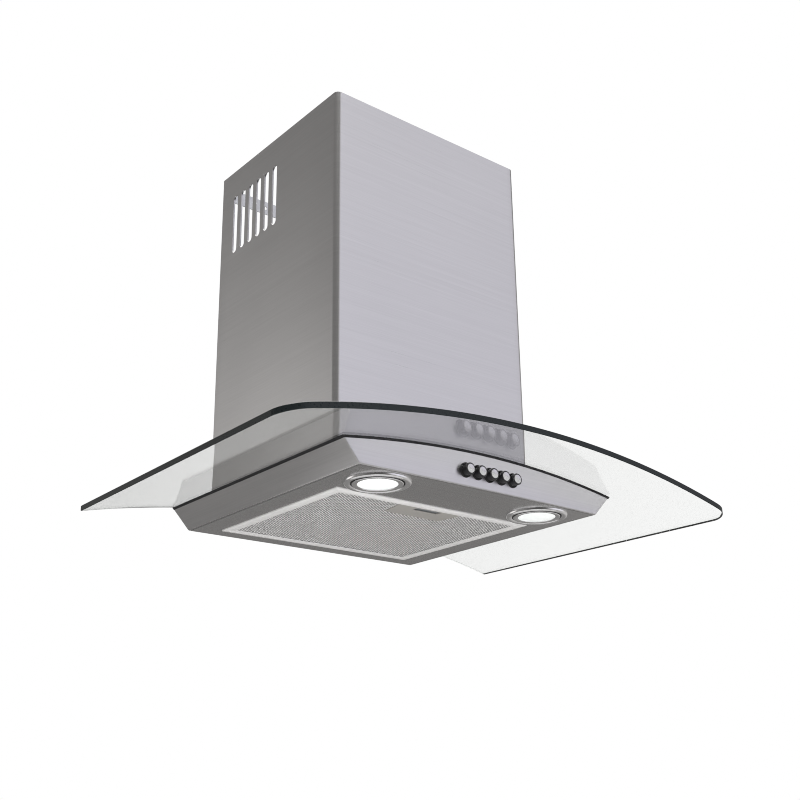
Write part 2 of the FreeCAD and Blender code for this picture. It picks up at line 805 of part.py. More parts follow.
def make_flaps():
    inner = collar_radius - collar_wall
    plate_radius = inner - flap_edge_gap
    for name, side in (("left", -1), ("right", 1)):
        start = vec(0, outlet_y, flap_z - flap_thickness / 2)
        disc = rod(plate_radius, start, vec(0, 0, 1), flap_thickness)
        x0, x1 = sorted((side * flap_pivot_offset, side * reach))
        plate = disc.common(slab(x0, x1, -reach, reach, -reach, reach))
        barrel_outside = flap_pivot_offset + flap_barrel_radius
        half = math.sqrt(plate_radius ** 2 - barrel_outside ** 2) - 2 * flap_edge_gap
        pin_half = inner + collar_wall / 2
        x = side * flap_pivot_offset
        barrel = rod(flap_barrel_radius, vec(x, outlet_y - half, flap_z), vec(0, 1, 0), 2 * half)
        pin = rod(flap_pin_radius, vec(x, outlet_y - pin_half, flap_z), vec(0, 1, 0), 2 * pin_half)
        save("damper_flap_" + name, fuse([plate, barrel, pin]))


# ---------------------------------------------------------------- electrics on the lid
def make_terminal_box():
    x0 = -box_width / 2 + terminal_edge
    y0 = -box_depth + terminal_front_edge
    z1 = lid_top_z + terminal_height
    wall = terminal_wall
    case = slab(x0, x0 + terminal_width, y0, y0 + terminal_depth, lid_top_z, z1)
    hollow = slab(x0 + wall, x0 + terminal_width - wall, y0 + wall, y0 + terminal_depth - wall,
                  lid_top_z + wall, z1)
    save("terminal_box", case.cut(hollow))
    gland_x = x0 + gland_edge
    gland_y = y0 + terminal_depth / 2
    seat = z1 + terminal_lid
    lid = slab(x0, x0 + terminal_width, y0, y0 + terminal_depth, z1, seat)
    neck_hole = rod(gland_neck_radius + fit_gap, vec(gland_x, gland_y, z1 - 1), vec(0, 0, 1), 5)
    save("terminal_box_lid", lid.cut(neck_hole))
    body = rod(gland_radius, vec(gland_x, gland_y, seat), vec(0, 0, 1), gland_height)
    neck = rod(gland_neck_radius, vec(gland_x, gland_y, seat - gland_neck), vec(0, 0, 1), gland_neck)
    bore = rod(gland_bore_radius, vec(gland_x, gland_y, seat - reach / 2), vec(0, 0, 1), reach)
    save("cord_gland", fuse([body, neck]).cut(bore))
    print("cord gland bore", gland_x, gland_y, "from", seat - gland_neck, "to", seat + gland_height)


def make_lamp_driver():
    x1 = box_width / 2 - terminal_edge
    y0 = -box_depth + terminal_front_edge
    case = slab(x1 - driver_width, x1, y0, y0 + terminal_depth, lid_top_z, lid_top_z + driver_height)
    save("lamp_driver", case.makeFillet(driver_corner_radius, upright_edges(case)))


# ---------------------------------------------------------------- lamps
def make_lamp(name, x):
    up = vec(0, 0, 1)
    base = vec(x, -lamp_y, underside_z)
    bezel = rod(lamp_bezel_radius, base - vec(0, 0, lamp_bezel_height), up, lamp_bezel_height)
    lower = min(bezel.Edges, key=lambda e: e.CenterOfMass.z)
    bezel = bezel.makeChamfer(lamp_bevel, [lower])
    opening = Part.makeCone(lens_radius + 1.5, lens_radius + fit_gap, lamp_bezel_height,
                            base - vec(0, 0, lamp_bezel_height), up)
    save("lamp_bezel_" + name, bezel.cut(opening))
    lens = rod(lens_radius, base - vec(0, 0, lamp_bezel_height - lens_recess), up, lens_thickness)
    save("lamp_lens_" + name, lens)
    cup = rod(lamp_cup_radius, base, up, lamp_cup_height)
    above_lip = base + vec(0, 0, lamp_cup_wall)
    cup = cup.cut(rod(lamp_cup_radius - lamp_cup_wall, above_lip, up, lamp_cup_height - 2 * lamp_cup_wall))
    save("lamp_cup_" + name, cup.cut(rod(lens_radius + fit_gap, base, up, lamp_cup_wall)))


def make_lamp_leds():
    """Light sources, each on a post from the roof of its cup."""
    made = []
    for _, x in lamp_places():
        face = vec(x, -lamp_y, underside_z + led_depth)
        board = rod(led_radius, face, vec(0, 0, 1), led_thickness)
        post = rod(led_radius / 2, face, vec(0, 0, 1), lamp_cup_height - lamp_cup_wall - led_depth)
        made.append(fuse([board, post]))
    save("lamp_leds", made)


def make_lamp_clips():
    """Two spring strips on each lamp's cup that press on the sheet around its hole."""
    made = []
    z_low = underside_z + body_sheet + free_gap
    for _, x in lamp_places():
        for side in (-1, 1):
            r0 = math.sqrt(lamp_cup_radius ** 2 - (clip_width / 2) ** 2)
            r1 = lamp_cup_radius + clip_reach
            z_high = z_low + clip_rise
            profile = [(r0, z_high), (r0 + clip_thickness, z_high), (r1, z_low + clip_thickness), (r1, z_low),
                       (r1 - clip_thickness, z_low), (r0, z_high - 2 * clip_thickness)]
            points = [vec(x + r * side, -lamp_y - clip_width / 2, z) for r, z in profile]
            strip = prism(points, vec(0, clip_width, 0))
            cup = rod(lamp_cup_radius, vec(x, -lamp_y, underside_z), vec(0, 0, 1), lamp_cup_height)
            made.append(strip.cut(cup))
    save("lamp_clips", made)


# ---------------------------------------------------------------- switches
button_front_y = fascia_y(button_z) - button_proud
collar_neck_depth = body_sheet + switch_standoff - free_gap
switch_front_y = fascia_y(button_z) + body_sheet + switch_standoff
switch_back_y = switch_front_y + switch_depth
spring_seat_y = switch_back_y - switch_wall
button_length = spring_seat_y - button_spring_pressed - button_travel - button_front_y


def make_buttons():
    inward = vec(0, 1, 0)
    rear_y = button_front_y + button_length
    rings = []
    for i, x in enumerate(button_places()):
        button = rod(button_radius, vec(x, button_front_y, button_z), inward, button_length)
        front = min(button.Edges, key=lambda e: e.CenterOfMass.y)
        button = button.makeFillet(button_edge_round, [front])
        save("button_%d" % (i + 1), button)
        spring = coil(button_spring_radius, button_spring_wire / 2, button_spring_turns,
                      rear_y, spring_seat_y - rear_y, x, button_z)
        save("button_spring_%d" % (i + 1), spring)
        front = vec(x, fascia_y(button_z) - 2 * collar_ring_proud, button_z)
        flange = rod(collar_ring_radius, front, inward, 4 * collar_ring_proud)
        proud = body_block(-collar_ring_proud, underside_z, crown_z, 0)
        flange = flange.common(proud).cut(body_block(0, underside_z, crown_z, 0))
        neck_start = vec(x, fascia_y(button_z) - collar_ring_proud / 2, button_z)
        neck = rod(collar_neck_radius, neck_start, inward, collar_neck_depth + collar_ring_proud / 2)
        bore = rod(button_radius + free_gap, vec(x, button_front_y, button_z), inward, button_length)
        rings.append(fuse([flange, neck]).cut(bore))
    save("button_collars", rings)


def make_switch_housing():
    half = switch_length / 2
    z0 = button_z - switch_height / 2
    case = slab(-half, half, switch_front_y, switch_back_y, z0, z0 + switch_height)
    ear_back_y = switch_front_y + switch_ear_thickness
    ears = slab(-half - switch_ear, half + switch_ear, switch_front_y, ear_back_y, z0, z0 + switch_height)
    housing = fuse([case, ears])
    for x in button_places():
        bore = rod(button_radius + free_gap, vec(x, switch_front_y - 1, button_z), vec(0, 1, 0),
                   switch_depth - switch_wall + 1)
        housing = housing.cut(bore)
    studs = []
    stud_end = ear_back_y + stud_nut_height + 1
    for side in (-1, 1):
        x = side * (half + switch_ear / 2)
        hole_start = vec(x, switch_front_y - 1, button_z)
        housing = housing.cut(rod(stud_radius + fit_gap, hole_start, vec(0, 1, 0), 10))
        start = vec(x, fascia_y(button_z) - 5, button_z)
        stud = rod(stud_radius, start, vec(0, 1, 0), stud_end - start.y)
        stud = stud.common(body_block(body_sheet, underside_z, crown_z, 0))
        nut = rod(stud_nut_radius, vec(x, ear_back_y, button_z), vec(0, 1, 0), stud_nut_height)
        studs.append(fuse([stud, nut]))
    save("switch_housing", housing)
    save("switch_studs", studs)


# ---------------------------------------------------------------- grease filter
def latch_block(margin, z0, z1):
    """The latch plate's tapered outline as a block, widened by a margin."""
    front_half = latch_width / 2 + margin
    back_half = front_half - latch_taper
    front = filter_front_y + latch_front_wall - margin
    back = front + latch_depth + 2 * margin
    corners = [vec(-front_half, front, z0), vec(front_half, front, z0), vec(back_half, back, z0),
               vec(-back_half, back, z0)]
    return prism(corners, vec(0, 0, z1 - z0))


def latch_pocket():
    return latch_block(fit_gap, filter_bottom_z - 1, filter_top_z + 1)


def filter_ring(inset, z0, z1):
    return filter_opening(-inset, z0, z1)


def bolt_passage():
    """The way of the latch's bolt through the frame's front."""
    half = latch_bolt_width / 2 + free_gap
    z0, z1 = latch_cavity_levels()
    return slab(-half, half, filter_front_y - 1, filter_front_y + latch_front_wall + 1, z0, z1)


def make_filter_frame():
    skin = filter_skin
    frame = filter_ring(0, filter_bottom_z, filter_top_z)
    frame = frame.cut(filter_ring(filter_rail, filter_bottom_z, filter_top_z))
    frame = frame.cut(filter_ring(skin, filter_bottom_z + skin, filter_top_z - skin))
    save("filter_frame", frame.cut(latch_pocket()).cut(bolt_passage()))


def mesh_face(z, columns, rows):
    """A flat sheet with staggered diamond openings, around the latch."""
    inset = filter_skin + fit_gap
    half = filter_width / 2 - inset
    y0, y1 = filter_front_y + inset, -filter_rear - inset
    pitch_x = 2 * (half - filter_rail) / columns
    pitch_y = (y1 - y0 - 2 * filter_rail) / rows
    keep = latch_width / 2 + pitch_x
    holes = []
    for i in range(columns):
        for j in range(rows):
            x = -half + filter_rail + (i + 0.5) * pitch_x
            y = y0 + filter_rail + (j + 0.5) * pitch_y
            if abs(x) < keep and y < filter_front_y + latch_front_wall + latch_depth + pitch_y:
                continue
            dx, dy = pitch_x * mesh_opening / 2, pitch_y * mesh_opening / 2
            corners = [vec(x - dx, y, z), vec(x, y - dy, z), vec(x + dx, y, z), vec(x, y + dy, z)]
            holes.append(Part.makePolygon(corners + corners[:1]))
    outer = Part.makePolygon([vec(-half, y0, z), vec(half, y0, z), vec(half, y1, z), vec(-half, y1, z),
                              vec(-half, y0, z)])
    return Part.makeFace([outer] + holes, "Part::FaceMakerBullseye")


def make_filter_layers():
    low = filter_bottom_z + filter_skin + fit_gap
    high = filter_top_z - filter_skin - fit_gap
    sheet = filter_mesh_sheet
    for name, z in (("filter_mesh_lower", low), ("filter_mesh_upper", high - sheet)):
        mesh = mesh_face(z, mesh_columns, mesh_rows).extrude(vec(0, 0, sheet))
        save(name, mesh.cut(latch_pocket()))
    core_z = (low + high - filter_core_sheet) / 2
    core = filter_ring(filter_skin + fit_gap, core_z, core_z + filter_core_sheet)
    save("filter_core", core.cut(latch_pocket()).cut(bolt_passage()))


def make_filter_tabs():
    """Steel tabs on the frame's rear rail that hook over the edge of the opening."""
    made = []
    z0 = underside_z + body_sheet + tab_lift
    for side in (-1, 1):
        x = side * tab_spacing / 2
        x0, x1 = x - tab_width / 2, x + tab_width / 2
        tongue = slab(x0, x1, -filter_rear, -filter_rear + tab_reach, z0, z0 + tab_thickness)
        upright = slab(x0, x1, -filter_rear, -filter_rear + pivot_offset, z0, filter_top_z)
        made.append(fuse([tongue, upright]))
    save("filter_tabs", made)


def latch_cavity_levels():
    z0 = filter_bottom_z + latch_floor
    return z0, z0 + latch_slide_thickness + 2 * free_gap


def make_latch():
    front = filter_front_y + latch_front_wall
    back = front + latch_depth
    z0, z1 = latch_cavity_levels()
    slide_half = latch_slide_width / 2
    plate = latch_block(0, filter_bottom_z, filter_bottom_z + latch_height)
    cavity_half = slide_half + free_gap
    plate = plate.cut(slab(-cavity_half, cavity_half, front - 1, back - latch_back_wall, z0, z1))
    slot_y = front + latch_slot_front
    slot = slab(-cavity_half, cavity_half, slot_y, slot_y + latch_slot_depth, filter_bottom_z - 1, z1)
    save("latch_plate", plate.cut(slot))
    spring_length = latch_spring_pressed + latch_travel
    slide_back = back - latch_back_wall - spring_length
    slide_z0 = z0 + free_gap
    slide_z1 = slide_z0 + latch_slide_thickness
    slide = slab(-slide_half, slide_half, front + free_gap, slide_back, slide_z0, slide_z1)
    bolt_half = latch_bolt_width / 2
    bolt = slab(-bolt_half, bolt_half, filter_front_y + free_gap, front + 2, slide_z0, slide_z1)
    rib_y = slot_y + free_gap
    rib = slab(-slide_half, slide_half, rib_y, rib_y + latch_rib, slide_z0 - latch_rib_drop, slide_z1)
    save("latch_slide", fuse([slide, bolt, rib]))
    springs = []
    for side in (-1, 1):
        x = side * latch_spring_spacing / 2
        z = (slide_z0 + slide_z1) / 2
        springs.append(coil(latch_spring_radius, latch_spring_wire / 2, latch_spring_turns,
                            slide_back, spring_length, x, z))
    save("latch_springs", springs)


# ---------------------------------------------------------------- all pieces
def main():
    os.makedirs("parts", exist_ok=True)
    make_glass()
    make_bushes()
    make_canopy_fasteners()
    make_gaskets()
    make_body_shell()
    make_deck()
    make_rear_plate()
    make_chimney()
    make_wall_bracket()
    make_cover_clips()
    make_motor_box()
    make_motor_box_lid()
    make_box_fasteners()
    make_scroll()
    make_impeller()
    make_motor()
    make_capacitor()
    make_collar()
    make_flaps()
    make_terminal_box()
    make_lamp_driver()
    for name, x in lamp_places():
        make_lamp(name, x)
    make_lamp_leds()
    make_lamp_clips()
    make_buttons()
    make_switch_housing()
    make_filter_frame()
    make_filter_layers()
    make_filter_tabs()
    make_latch()


main()
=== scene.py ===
"""Looks of a wall-hung range hood with an arched glass canopy: fine shapes, finishes, light and camera."""
import functools
import json
import math

import bmesh
import bpy
from bpy.props import FloatProperty, FloatVectorProperty, IntProperty, PointerProperty
from mathutils import Matrix, Vector


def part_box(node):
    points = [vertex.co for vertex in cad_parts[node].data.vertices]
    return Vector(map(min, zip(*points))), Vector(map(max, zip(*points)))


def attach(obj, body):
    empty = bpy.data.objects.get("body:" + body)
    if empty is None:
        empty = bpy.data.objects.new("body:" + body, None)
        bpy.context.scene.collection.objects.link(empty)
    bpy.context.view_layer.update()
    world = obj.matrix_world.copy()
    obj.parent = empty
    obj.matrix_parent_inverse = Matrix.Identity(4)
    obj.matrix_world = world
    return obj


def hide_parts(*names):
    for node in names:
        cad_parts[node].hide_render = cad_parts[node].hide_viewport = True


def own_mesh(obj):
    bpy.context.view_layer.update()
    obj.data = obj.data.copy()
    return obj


bl_info = {
    "name": "Glass canopy range hood",
    "version": (1, 0, 0),
    "blender": (4, 5, 0),
    "location": "View3D > Sidebar > Hood",
    "description": "Builds the visible pieces and finishes of a range hood around its frame",
    "category": "Object",
}

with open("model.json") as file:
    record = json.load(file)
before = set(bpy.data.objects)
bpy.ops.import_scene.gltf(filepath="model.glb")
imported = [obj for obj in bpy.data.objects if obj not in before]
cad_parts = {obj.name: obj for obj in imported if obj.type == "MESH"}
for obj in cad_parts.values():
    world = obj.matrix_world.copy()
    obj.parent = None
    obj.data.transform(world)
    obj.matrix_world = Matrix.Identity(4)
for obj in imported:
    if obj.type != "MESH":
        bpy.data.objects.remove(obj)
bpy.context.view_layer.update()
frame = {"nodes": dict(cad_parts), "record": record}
box_of = functools.cache(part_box)
BODY_OF = {node: body for body, nodes in frame["record"]["behaviour"]["bodies"].items() for node in nodes}


# ---------------------------------------------------------------- sizes and colours that a user may change
def length(name, description, default):
    return FloatProperty(name=name, description=description, default=default, unit="LENGTH", precision=5)


def colour(name, description, default):
    return FloatVectorProperty(name=name, description=description, default=default, subtype="COLOR",
                               size=4, min=0.0, max=1.0)


class HoodSizes(bpy.types.PropertyGroup):
    """Sizes that the frame's boxes don't give."""
    arch_radius: length("Arch radius", "Arch of the canopy's underside", 1.270)
    glass_thickness: length("Glass thickness", "Thickness of the canopy", 0.006)
    glass_front_width: length("Front width", "Width of the canopy at its front corners", 0.600)
    glass_rear_width: length("Rear width", "Width of the canopy along the wall", 0.588)
    glass_bow: length("Front bow", "How far the canopy's front edge bows out", 0.004)
    glass_corner: length("Corner radius", "Radius of the canopy's front corners", 0.025)
    glass_arris: length("Arris", "Width of the ground flat along the glass edge", 0.0006)
    throat_side: length("Throat side", "From the gaskets' outer sides in to the throat", 0.015)
    throat_front: length("Throat front", "From the gaskets' front in to the throat", 0.019)
    throat_rear: length("Throat rear", "From the wall to the throat", 0.016)
    gasket: length("Gasket", "Thickness of the rubber between body and canopy", 0.0025)
    body_bottom_width: length("Body bottom width", "Width of the body's underside", 0.327)
    body_top_width: length("Body top width", "Width where the body's corners meet the canopy", 0.370)
    body_bottom_depth: length("Body bottom depth", "Depth of the body's underside", 0.326)
    body_top_depth: length("Body top depth", "Depth at the level of the canopy's crown", 0.330)
    body_bow: length("Fascia bow", "How far the fascia bows out", 0.002)
    body_bend: length("Body bend", "Outer radius of the body's folds", 0.0013)
    seam_width: length("Seam width", "Width of the seam along the underside's folds", 0.0009)
    seam_depth: length("Seam depth", "Depth of the seam along the underside's folds", 0.0012)
    sheet: length("Sheet", "Thickness of the steel sheets", 0.0008)
    lamp_hole: length("Lamp hole", "Radius of the body's holes for the lamps", 0.0295)
    button_hole: length("Button hole", "Radius of the fascia's holes for the buttons", 0.0072)
    filter_gap: length("Filter gap", "Space between the filter's frame and the body", 0.0008)
    cover_gap: length("Cover gap", "Space between the outer cover and the glass", 0.0003)
    cover_bend: length("Cover bend", "Outer radius of the covers' front folds", 0.0065)
    cover_rear_bend: length("Cover rear bend", "Outer radius of the covers' rear folds", 0.0014)
    cover_return: length("Cover return", "Width of the covers' rear flanges", 0.009)
    slot_width: length("Slot width", "Width of a vent slot in the outer cover", 0.0093)
    slot_height: length("Slot height", "Height of a vent slot in the outer cover", 0.079)
    slot_pitch: length("Slot pitch", "Distance between vent slots", 0.0177)
    slot_first: length("First slot", "First slot's centre from the wall", 0.033)
    slot_top: length("Slot margin", "From the slots up to the cover's top", 0.036)
    slot_widening: length("Slot widening", "How much wider the inner cover's slots are", 0.001)
    slot_count: IntProperty(name="Slots", description="Vent slots on each side", default=6, min=1)
    groove_radius: length("Rim groove", "Radius of the dark groove in a lamp's rim", 0.0266)
    lens_opening: length("Lens opening", "Inner radius of a lamp's rim", 0.0205)
    filter_rail: length("Filter rail", "Width of the filter's rails", 0.012)
    mesh_tuck: length("Mesh tuck", "How far the mesh reaches into the rails on each side", 0.002)
    diamond_width: length("Diamond width", "Width of a diamond of the filter mesh", 0.0053)
    diamond_depth: length("Diamond depth", "Depth of a diamond of the filter mesh", 0.0038)
    mesh_gauge: length("Mesh gauge", "Thickness of the filter mesh", 0.0002)
    filter_strand: length("Mesh strand", "Width of a strand of the filter mesh", 0.00062)
    button_travel: length("Button travel", "How far a push button goes in", 0.003)
    latch_travel: length("Latch travel", "How far the filter's latch slides back", 0.005)
    latch_taper: length("Latch taper", "How much each side of the latch draws in to the rear", 0.0043)
    latch_bolt: length("Latch bolt", "Half width of the way cut for the latch's bolt", 0.0083)
    soft_edge: length("Soft edge", "Rounding of plain edges", 0.0003)


class HoodColours(bpy.types.PropertyGroup):
    """Base colours of the finishes."""
    steel: colour("Steel", "Brushed stainless steel", (0.60, 0.595, 0.60, 1))
    glass: colour("Glass", "Tint of the canopy, darker than clear glass", (0.74, 0.745, 0.74, 1))
    glass_depth: colour("Glass depth", "Tint of the canopy's right and rear edges", (0.62, 0.66, 0.64, 1))
    # Painted shade for the canopy's left, front and throat edges, which are of the same glass.
    glass_edge_painted_shade: colour("Glass edge", "Left, front and throat edges of the canopy", (0.012, 0.016, 0.017, 1))
    rubber: colour("Rubber", "Gaskets and mounts", (0.010, 0.010, 0.011, 1))
    galvanised: colour("Galvanised", "Motor box and wall strap", (0.60, 0.61, 0.62, 1))
    zinc: colour("Zinc", "Screws, nuts, switch studs and shaft", (0.62, 0.62, 0.58, 1))
    chrome: colour("Chrome", "Lamp rims", (0.86, 0.86, 0.87, 1))
    # One aluminium, darker on the frame as painted shade and lighter on the mesh as a painted highlight.
    aluminium: colour("Aluminium", "Filter frame and mesh", (0.92, 0.91, 0.905, 1))
    # Colour of the painted glints on the filter's packed layers, which are painted in deep shade.
    core: colour("Core", "Glints in the filter's packed layers", (0.012, 0.012, 0.012, 1))
    latch: colour("Latch", "Filter latch", (0.36, 0.345, 0.325, 1))
    # The lens colour also tints the lens's glow, which is painted light.
    lens: colour("Lens", "Frosted lamp lens", (0.86, 0.89, 0.88, 1))
    # Black plastic for collars, switches and terminal box, and painted shade in the rim grooves and on the
    # button sides.
    black_plastic: colour("Black plastic", "Button sides, collars, rim grooves, switches and terminal box",
                          (0.013, 0.013, 0.014, 1))
    grey_plastic: colour("Grey plastic", "Blower housing and collar", (0.050, 0.052, 0.056, 1))
    nylon: colour("Nylon", "Bushes, lamp driver and light sources", (0.72, 0.72, 0.69, 1))
    # Motor paint, which on the latch slide is painted shade in its slot.
    motor: colour("Motor", "Motor, capacitor, lamp cups and latch slide", (0.22, 0.23, 0.24, 1))
    floor: colour("Floor", "Studio floor", (0.80, 0.80, 0.80, 1))


class HoodView(bpy.types.PropertyGroup):
    """Camera and studio light."""
    camera: FloatVectorProperty(name="Camera", description="Place of the camera", subtype="TRANSLATION",
                                unit="LENGTH", default=(-0.78104, -1.14699, -0.50358))
    turn: FloatProperty(name="Turn", description="Compass turn of the view", subtype="ANGLE",
                        default=math.radians(-40.02))
    rise: FloatProperty(name="Rise", description="Upward tilt of the view", subtype="ANGLE",
                        default=math.radians(18.69))
    roll: FloatProperty(name="Roll", description="Roll of the view", subtype="ANGLE",
                        default=math.radians(-1.04))
    focal: FloatProperty(name="Focal length", description="Millimetres on a 36 mm sensor", default=51.72)
    shift_x: FloatProperty(name="Shift X", description="Sideways shift of the frame", default=-0.0239)
    shift_y: FloatProperty(name="Shift Y", description="Upward shift of the frame", default=0.0386)
    sharpness: FloatProperty(name="Pixel filter", description="Width of the pixel filter", default=1.0)
    floor_half: length("Floor half", "Half the width of the floor", 1.1)
    through: FloatProperty(name="Backdrop", description="Brightness of the backdrop through the glass",
                           default=1.36)
    floor_level: length("Floor level", "Height of the floor", -1.30)
    key_power: FloatProperty(name="Key", description="Power of the key light", default=3.0, subtype="POWER")
    fill_power: FloatProperty(name="Fill", description="Power of the light below", default=12.0,
                              subtype="POWER")
    top_power: FloatProperty(name="Top", description="Power of the light overhead", default=110.0,
                             subtype="POWER")


# ---------------------------------------------------------------- node trees as expressions
def operation(name, swapped=False):
    """A method that adds a Math node for this operation."""
    def add_node(self, other):
        terms = [other, self] if swapped else [self, other]
        return self.kit.node("ShaderNodeMath", {"operation": name}, terms)

    return add_node


class Wire:
    """A socket in a node tree. Arithmetic on it adds Math nodes."""
    __add__ = operation("ADD")
    __radd__ = operation("ADD", True)
    __sub__ = operation("SUBTRACT")
    __rsub__ = operation("SUBTRACT", True)
    __mul__ = operation("MULTIPLY")
    __rmul__ = operation("MULTIPLY", True)
    __truediv__ = operation("DIVIDE")
    __mod__ = operation("MODULO")
    __gt__ = operation("GREATER_THAN")
    __lt__ = operation("LESS_THAN")
    highest = operation("MAXIMUM")

    def __init__(self, kit, socket):
        self.kit = kit
        self.socket = socket


class NodeKit:
    """Adds nodes to one tree, by type, with their settings first and then their sockets."""

    def __init__(self, tree):
        self.tree = tree

    def node(self, kind, settings=None, sockets=None, out=0):
        made = self.tree.nodes.new(kind)
        for key, value in (settings or {}).items():
            setattr(made, key, value)
        pairs = sockets.items() if isinstance(sockets, dict) else enumerate(sockets or [])
        for key, value in pairs:
            if isinstance(value, Wire):
                self.tree.links.new(value.socket, made.inputs[key])
            else:
                made.inputs[key].default_value = value
        return Wire(self, made.outputs[out]) if made.outputs else None

    def noise(self, scale, detail=2.0):
        """Noise on Object coordinates, stretched by a scale for each axis."""
        place = self.node("ShaderNodeTexCoord", out="Object")
        spread = self.node("ShaderNodeMapping", {}, {"Vector": place, "Scale": scale})
        return self.node("ShaderNodeTexNoise", {}, {"Vector": spread, "Scale": 1.0, "Detail": detail})

    def cells(self, scale, out="Color"):
        """Voronoi cells on Object coordinates."""
        place = self.node("ShaderNodeTexCoord", out="Object")
        return self.node("ShaderNodeTexVoronoi", {}, {"Vector": place, "Scale": scale}, out)

    def tint(self, factor, first, second):
        return self.node("ShaderNodeMix", {"data_type": "RGBA"}, {0: factor, 6: first, 7: second}, 2)

    def combine(self, *parts):
        return self.node("ShaderNodeCombineXYZ", {}, parts)

    def bump(self, height, strength, distance):
        return self.node("ShaderNodeBump", {}, {"Height": height, "Strength": strength, "Distance": distance})


def emptied(owner):
    """A kit for the tree of a material or world, without the nodes it came with."""
    owner.use_nodes = True
    owner.node_tree.nodes.clear()
    return NodeKit(owner.node_tree)


def shade(base, share):
    """A colour made lighter or darker by a share."""
    return tuple(min(1.0, c * share) for c in base[:3]) + (1.0,)


def new_finish(name, fixed, wiring):
    """A material. Fixed values go on the shader's own sockets, and wiring gives those that vary."""
    material = bpy.data.materials.new(name)
    kit = emptied(material)
    shader = kit.node("ShaderNodeBsdfPrincipled", {}, {**fixed, **wiring(kit)})
    kit.node("ShaderNodeOutputMaterial", {}, {"Surface": shader})
    return material


# ---------------------------------------------------------------- finishes
def brushed(name, base, grain, roughness=0.30, spread=0.10, relief=0.10, fixed=None):
    """Brushed metal: fine and coarse streaks that run where the grain's scale is small."""
    coarse = tuple(g * 0.16 for g in grain)

    def wiring(kit):
        fine = kit.noise(grain, 3.0)
        broad = kit.noise(coarse, 2.0)
        cloud = kit.noise((9, 9, 9), 2.0)
        streak = fine * 0.55 + broad * 0.30 + cloud * 0.15
        return {
            "Base Color": kit.tint(streak, shade(base, 1.0 - 1.6 * spread), shade(base, 1.0 + 1.6 * spread)),
            "Roughness": roughness - 0.07 + 0.14 * streak,
            "Normal": kit.bump(fine, relief, 0.0002),
        }

    return new_finish(name, {"Metallic": 1.0, **(fixed or {})}, wiring)


ANISOTROPY = {"Anisotropic": 0.55, "Anisotropic Rotation": 0.25}


def canopy_glass(colours):
    """Tinted glass whose face wavers slightly."""
    def wiring(kit):
        waver = kit.noise((5, 5, 5), 1.0)
        return {"Normal": kit.bump(waver, 0.02, 0.0004)}

    fixed = {"Base Color": colours.glass, "Roughness": 0.0, "IOR": 1.5, "Transmission Weight": 1.0}
    return new_finish("canopy_glass", fixed, wiring)


def glass_edge_painted_shade(colours):
    """The left and front edges and the throat's: painted shade of dark green-black in place of the glass,
    with a fine satin polish.
    """
    base = colours.glass_edge_painted_shade

    def wiring(kit):
        grind = kit.noise((300, 300, 300), 2.0)
        drift = kit.noise((6, 6, 6), 1.0)
        return {
            "Base Color": kit.tint(drift, shade(base, 0.7), shade(base, 1.5)),
            "Roughness": 0.24 + 0.08 * grind,
        }

    return new_finish("glass_edge_painted_shade", {"IOR": 1.33, "Specular IOR Level": 0.4}, wiring)


def polished_edge(colours):
    """The right and rear edges, which let light through and show as thin pale green lines."""
    def wiring(kit):
        drift = kit.noise((40, 40, 40), 2.0)
        return {"Roughness": 0.05 + 0.10 * drift, "Normal": kit.bump(drift, 0.05, 0.0002)}

    fixed = {"Base Color": colours.glass_depth, "IOR": 1.5, "Transmission Weight": 1.0}
    return new_finish("polished_edge", fixed, wiring)


def plain_plastic(name, base, roughness, grain=1400.0):
    """Moulded plastic with an etched grain and faint mould clouding."""
    def wiring(kit):
        etch = kit.noise((grain, grain, grain), 2.0)
        cloud = kit.noise((14, 14, 14), 2.0)
        return {
            "Base Color": kit.tint(cloud, shade(base, 0.88), shade(base, 1.14)),
            "Roughness": roughness - 0.06 + 0.12 * cloud,
            "Normal": kit.bump(etch, 0.22, 0.00012),
        }

    return new_finish(name, {"IOR": 1.46}, wiring)


def galvanised(colours):
    """Hot-dipped zinc: overlapping crystal patches, each with its own tone and gloss."""
    base = colours.galvanised

    def wiring(kit):
        patch = kit.cells(95.0)
        tone = kit.node("ShaderNodeSeparateColor", {}, {0: patch})
        cloud = kit.noise((30, 30, 30), 3.0)
        share = tone * 0.65 + cloud * 0.35
        return {
            "Base Color": kit.tint(share, shade(base, 0.80), shade(base, 1.18)),
            "Roughness": 0.30 + 0.22 * share,
            "Normal": kit.bump(cloud, 0.10, 0.0003),
        }

    return new_finish("galvanised_sheet", {"Metallic": 1.0}, wiring)


def plated(name, base, roughness, spread=0.06, metal=1.0):
    """Smooth plated or polished metal with faint rub marks."""
    def wiring(kit):
        rub = kit.noise((420, 420, 420), 4.0)
        cloud = kit.noise((45, 45, 45), 2.0)
        return {
            "Base Color": kit.tint(cloud, shade(base, 1 - spread), shade(base, 1 + spread)),
            "Roughness": roughness + 0.08 * rub,
            "Normal": kit.bump(rub, 0.015, 0.00008),
        }

    return new_finish(name, {"Metallic": metal}, wiring)


def painted_shade_core(colours):
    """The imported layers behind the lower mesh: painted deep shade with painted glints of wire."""
    base = colours.core

    def wiring(kit):
        knit = kit.cells(420.0, "Distance")
        depth = kit.node("ShaderNodeMapRange", {}, {"Value": knit, "From Min": 0.15, "From Max": 0.55})
        return {"Base Color": kit.tint(depth, base, shade(base, 0.25)), "Normal": kit.bump(knit, 0.6, 0.0008)}

    return new_finish("packed_mesh_painted_shade", {"Roughness": 0.7, "Metallic": 0.0, "Specular IOR Level": 0.1}, wiring)


def satin_paint(name, base, roughness):
    """Sprayed paint with a slight orange peel."""
    def wiring(kit):
        peel = kit.noise((260, 260, 260), 2.0)
        cloud = kit.noise((20, 20, 20), 2.0)
        return {
            "Base Color": kit.tint(cloud, shade(base, 0.93), shade(base, 1.07)),
            "Roughness": roughness - 0.04 + 0.08 * peel,
            "Normal": kit.bump(peel, 0.08, 0.0002),
        }

    return new_finish(name, {"IOR": 1.48, "Metallic": 0.25}, wiring)


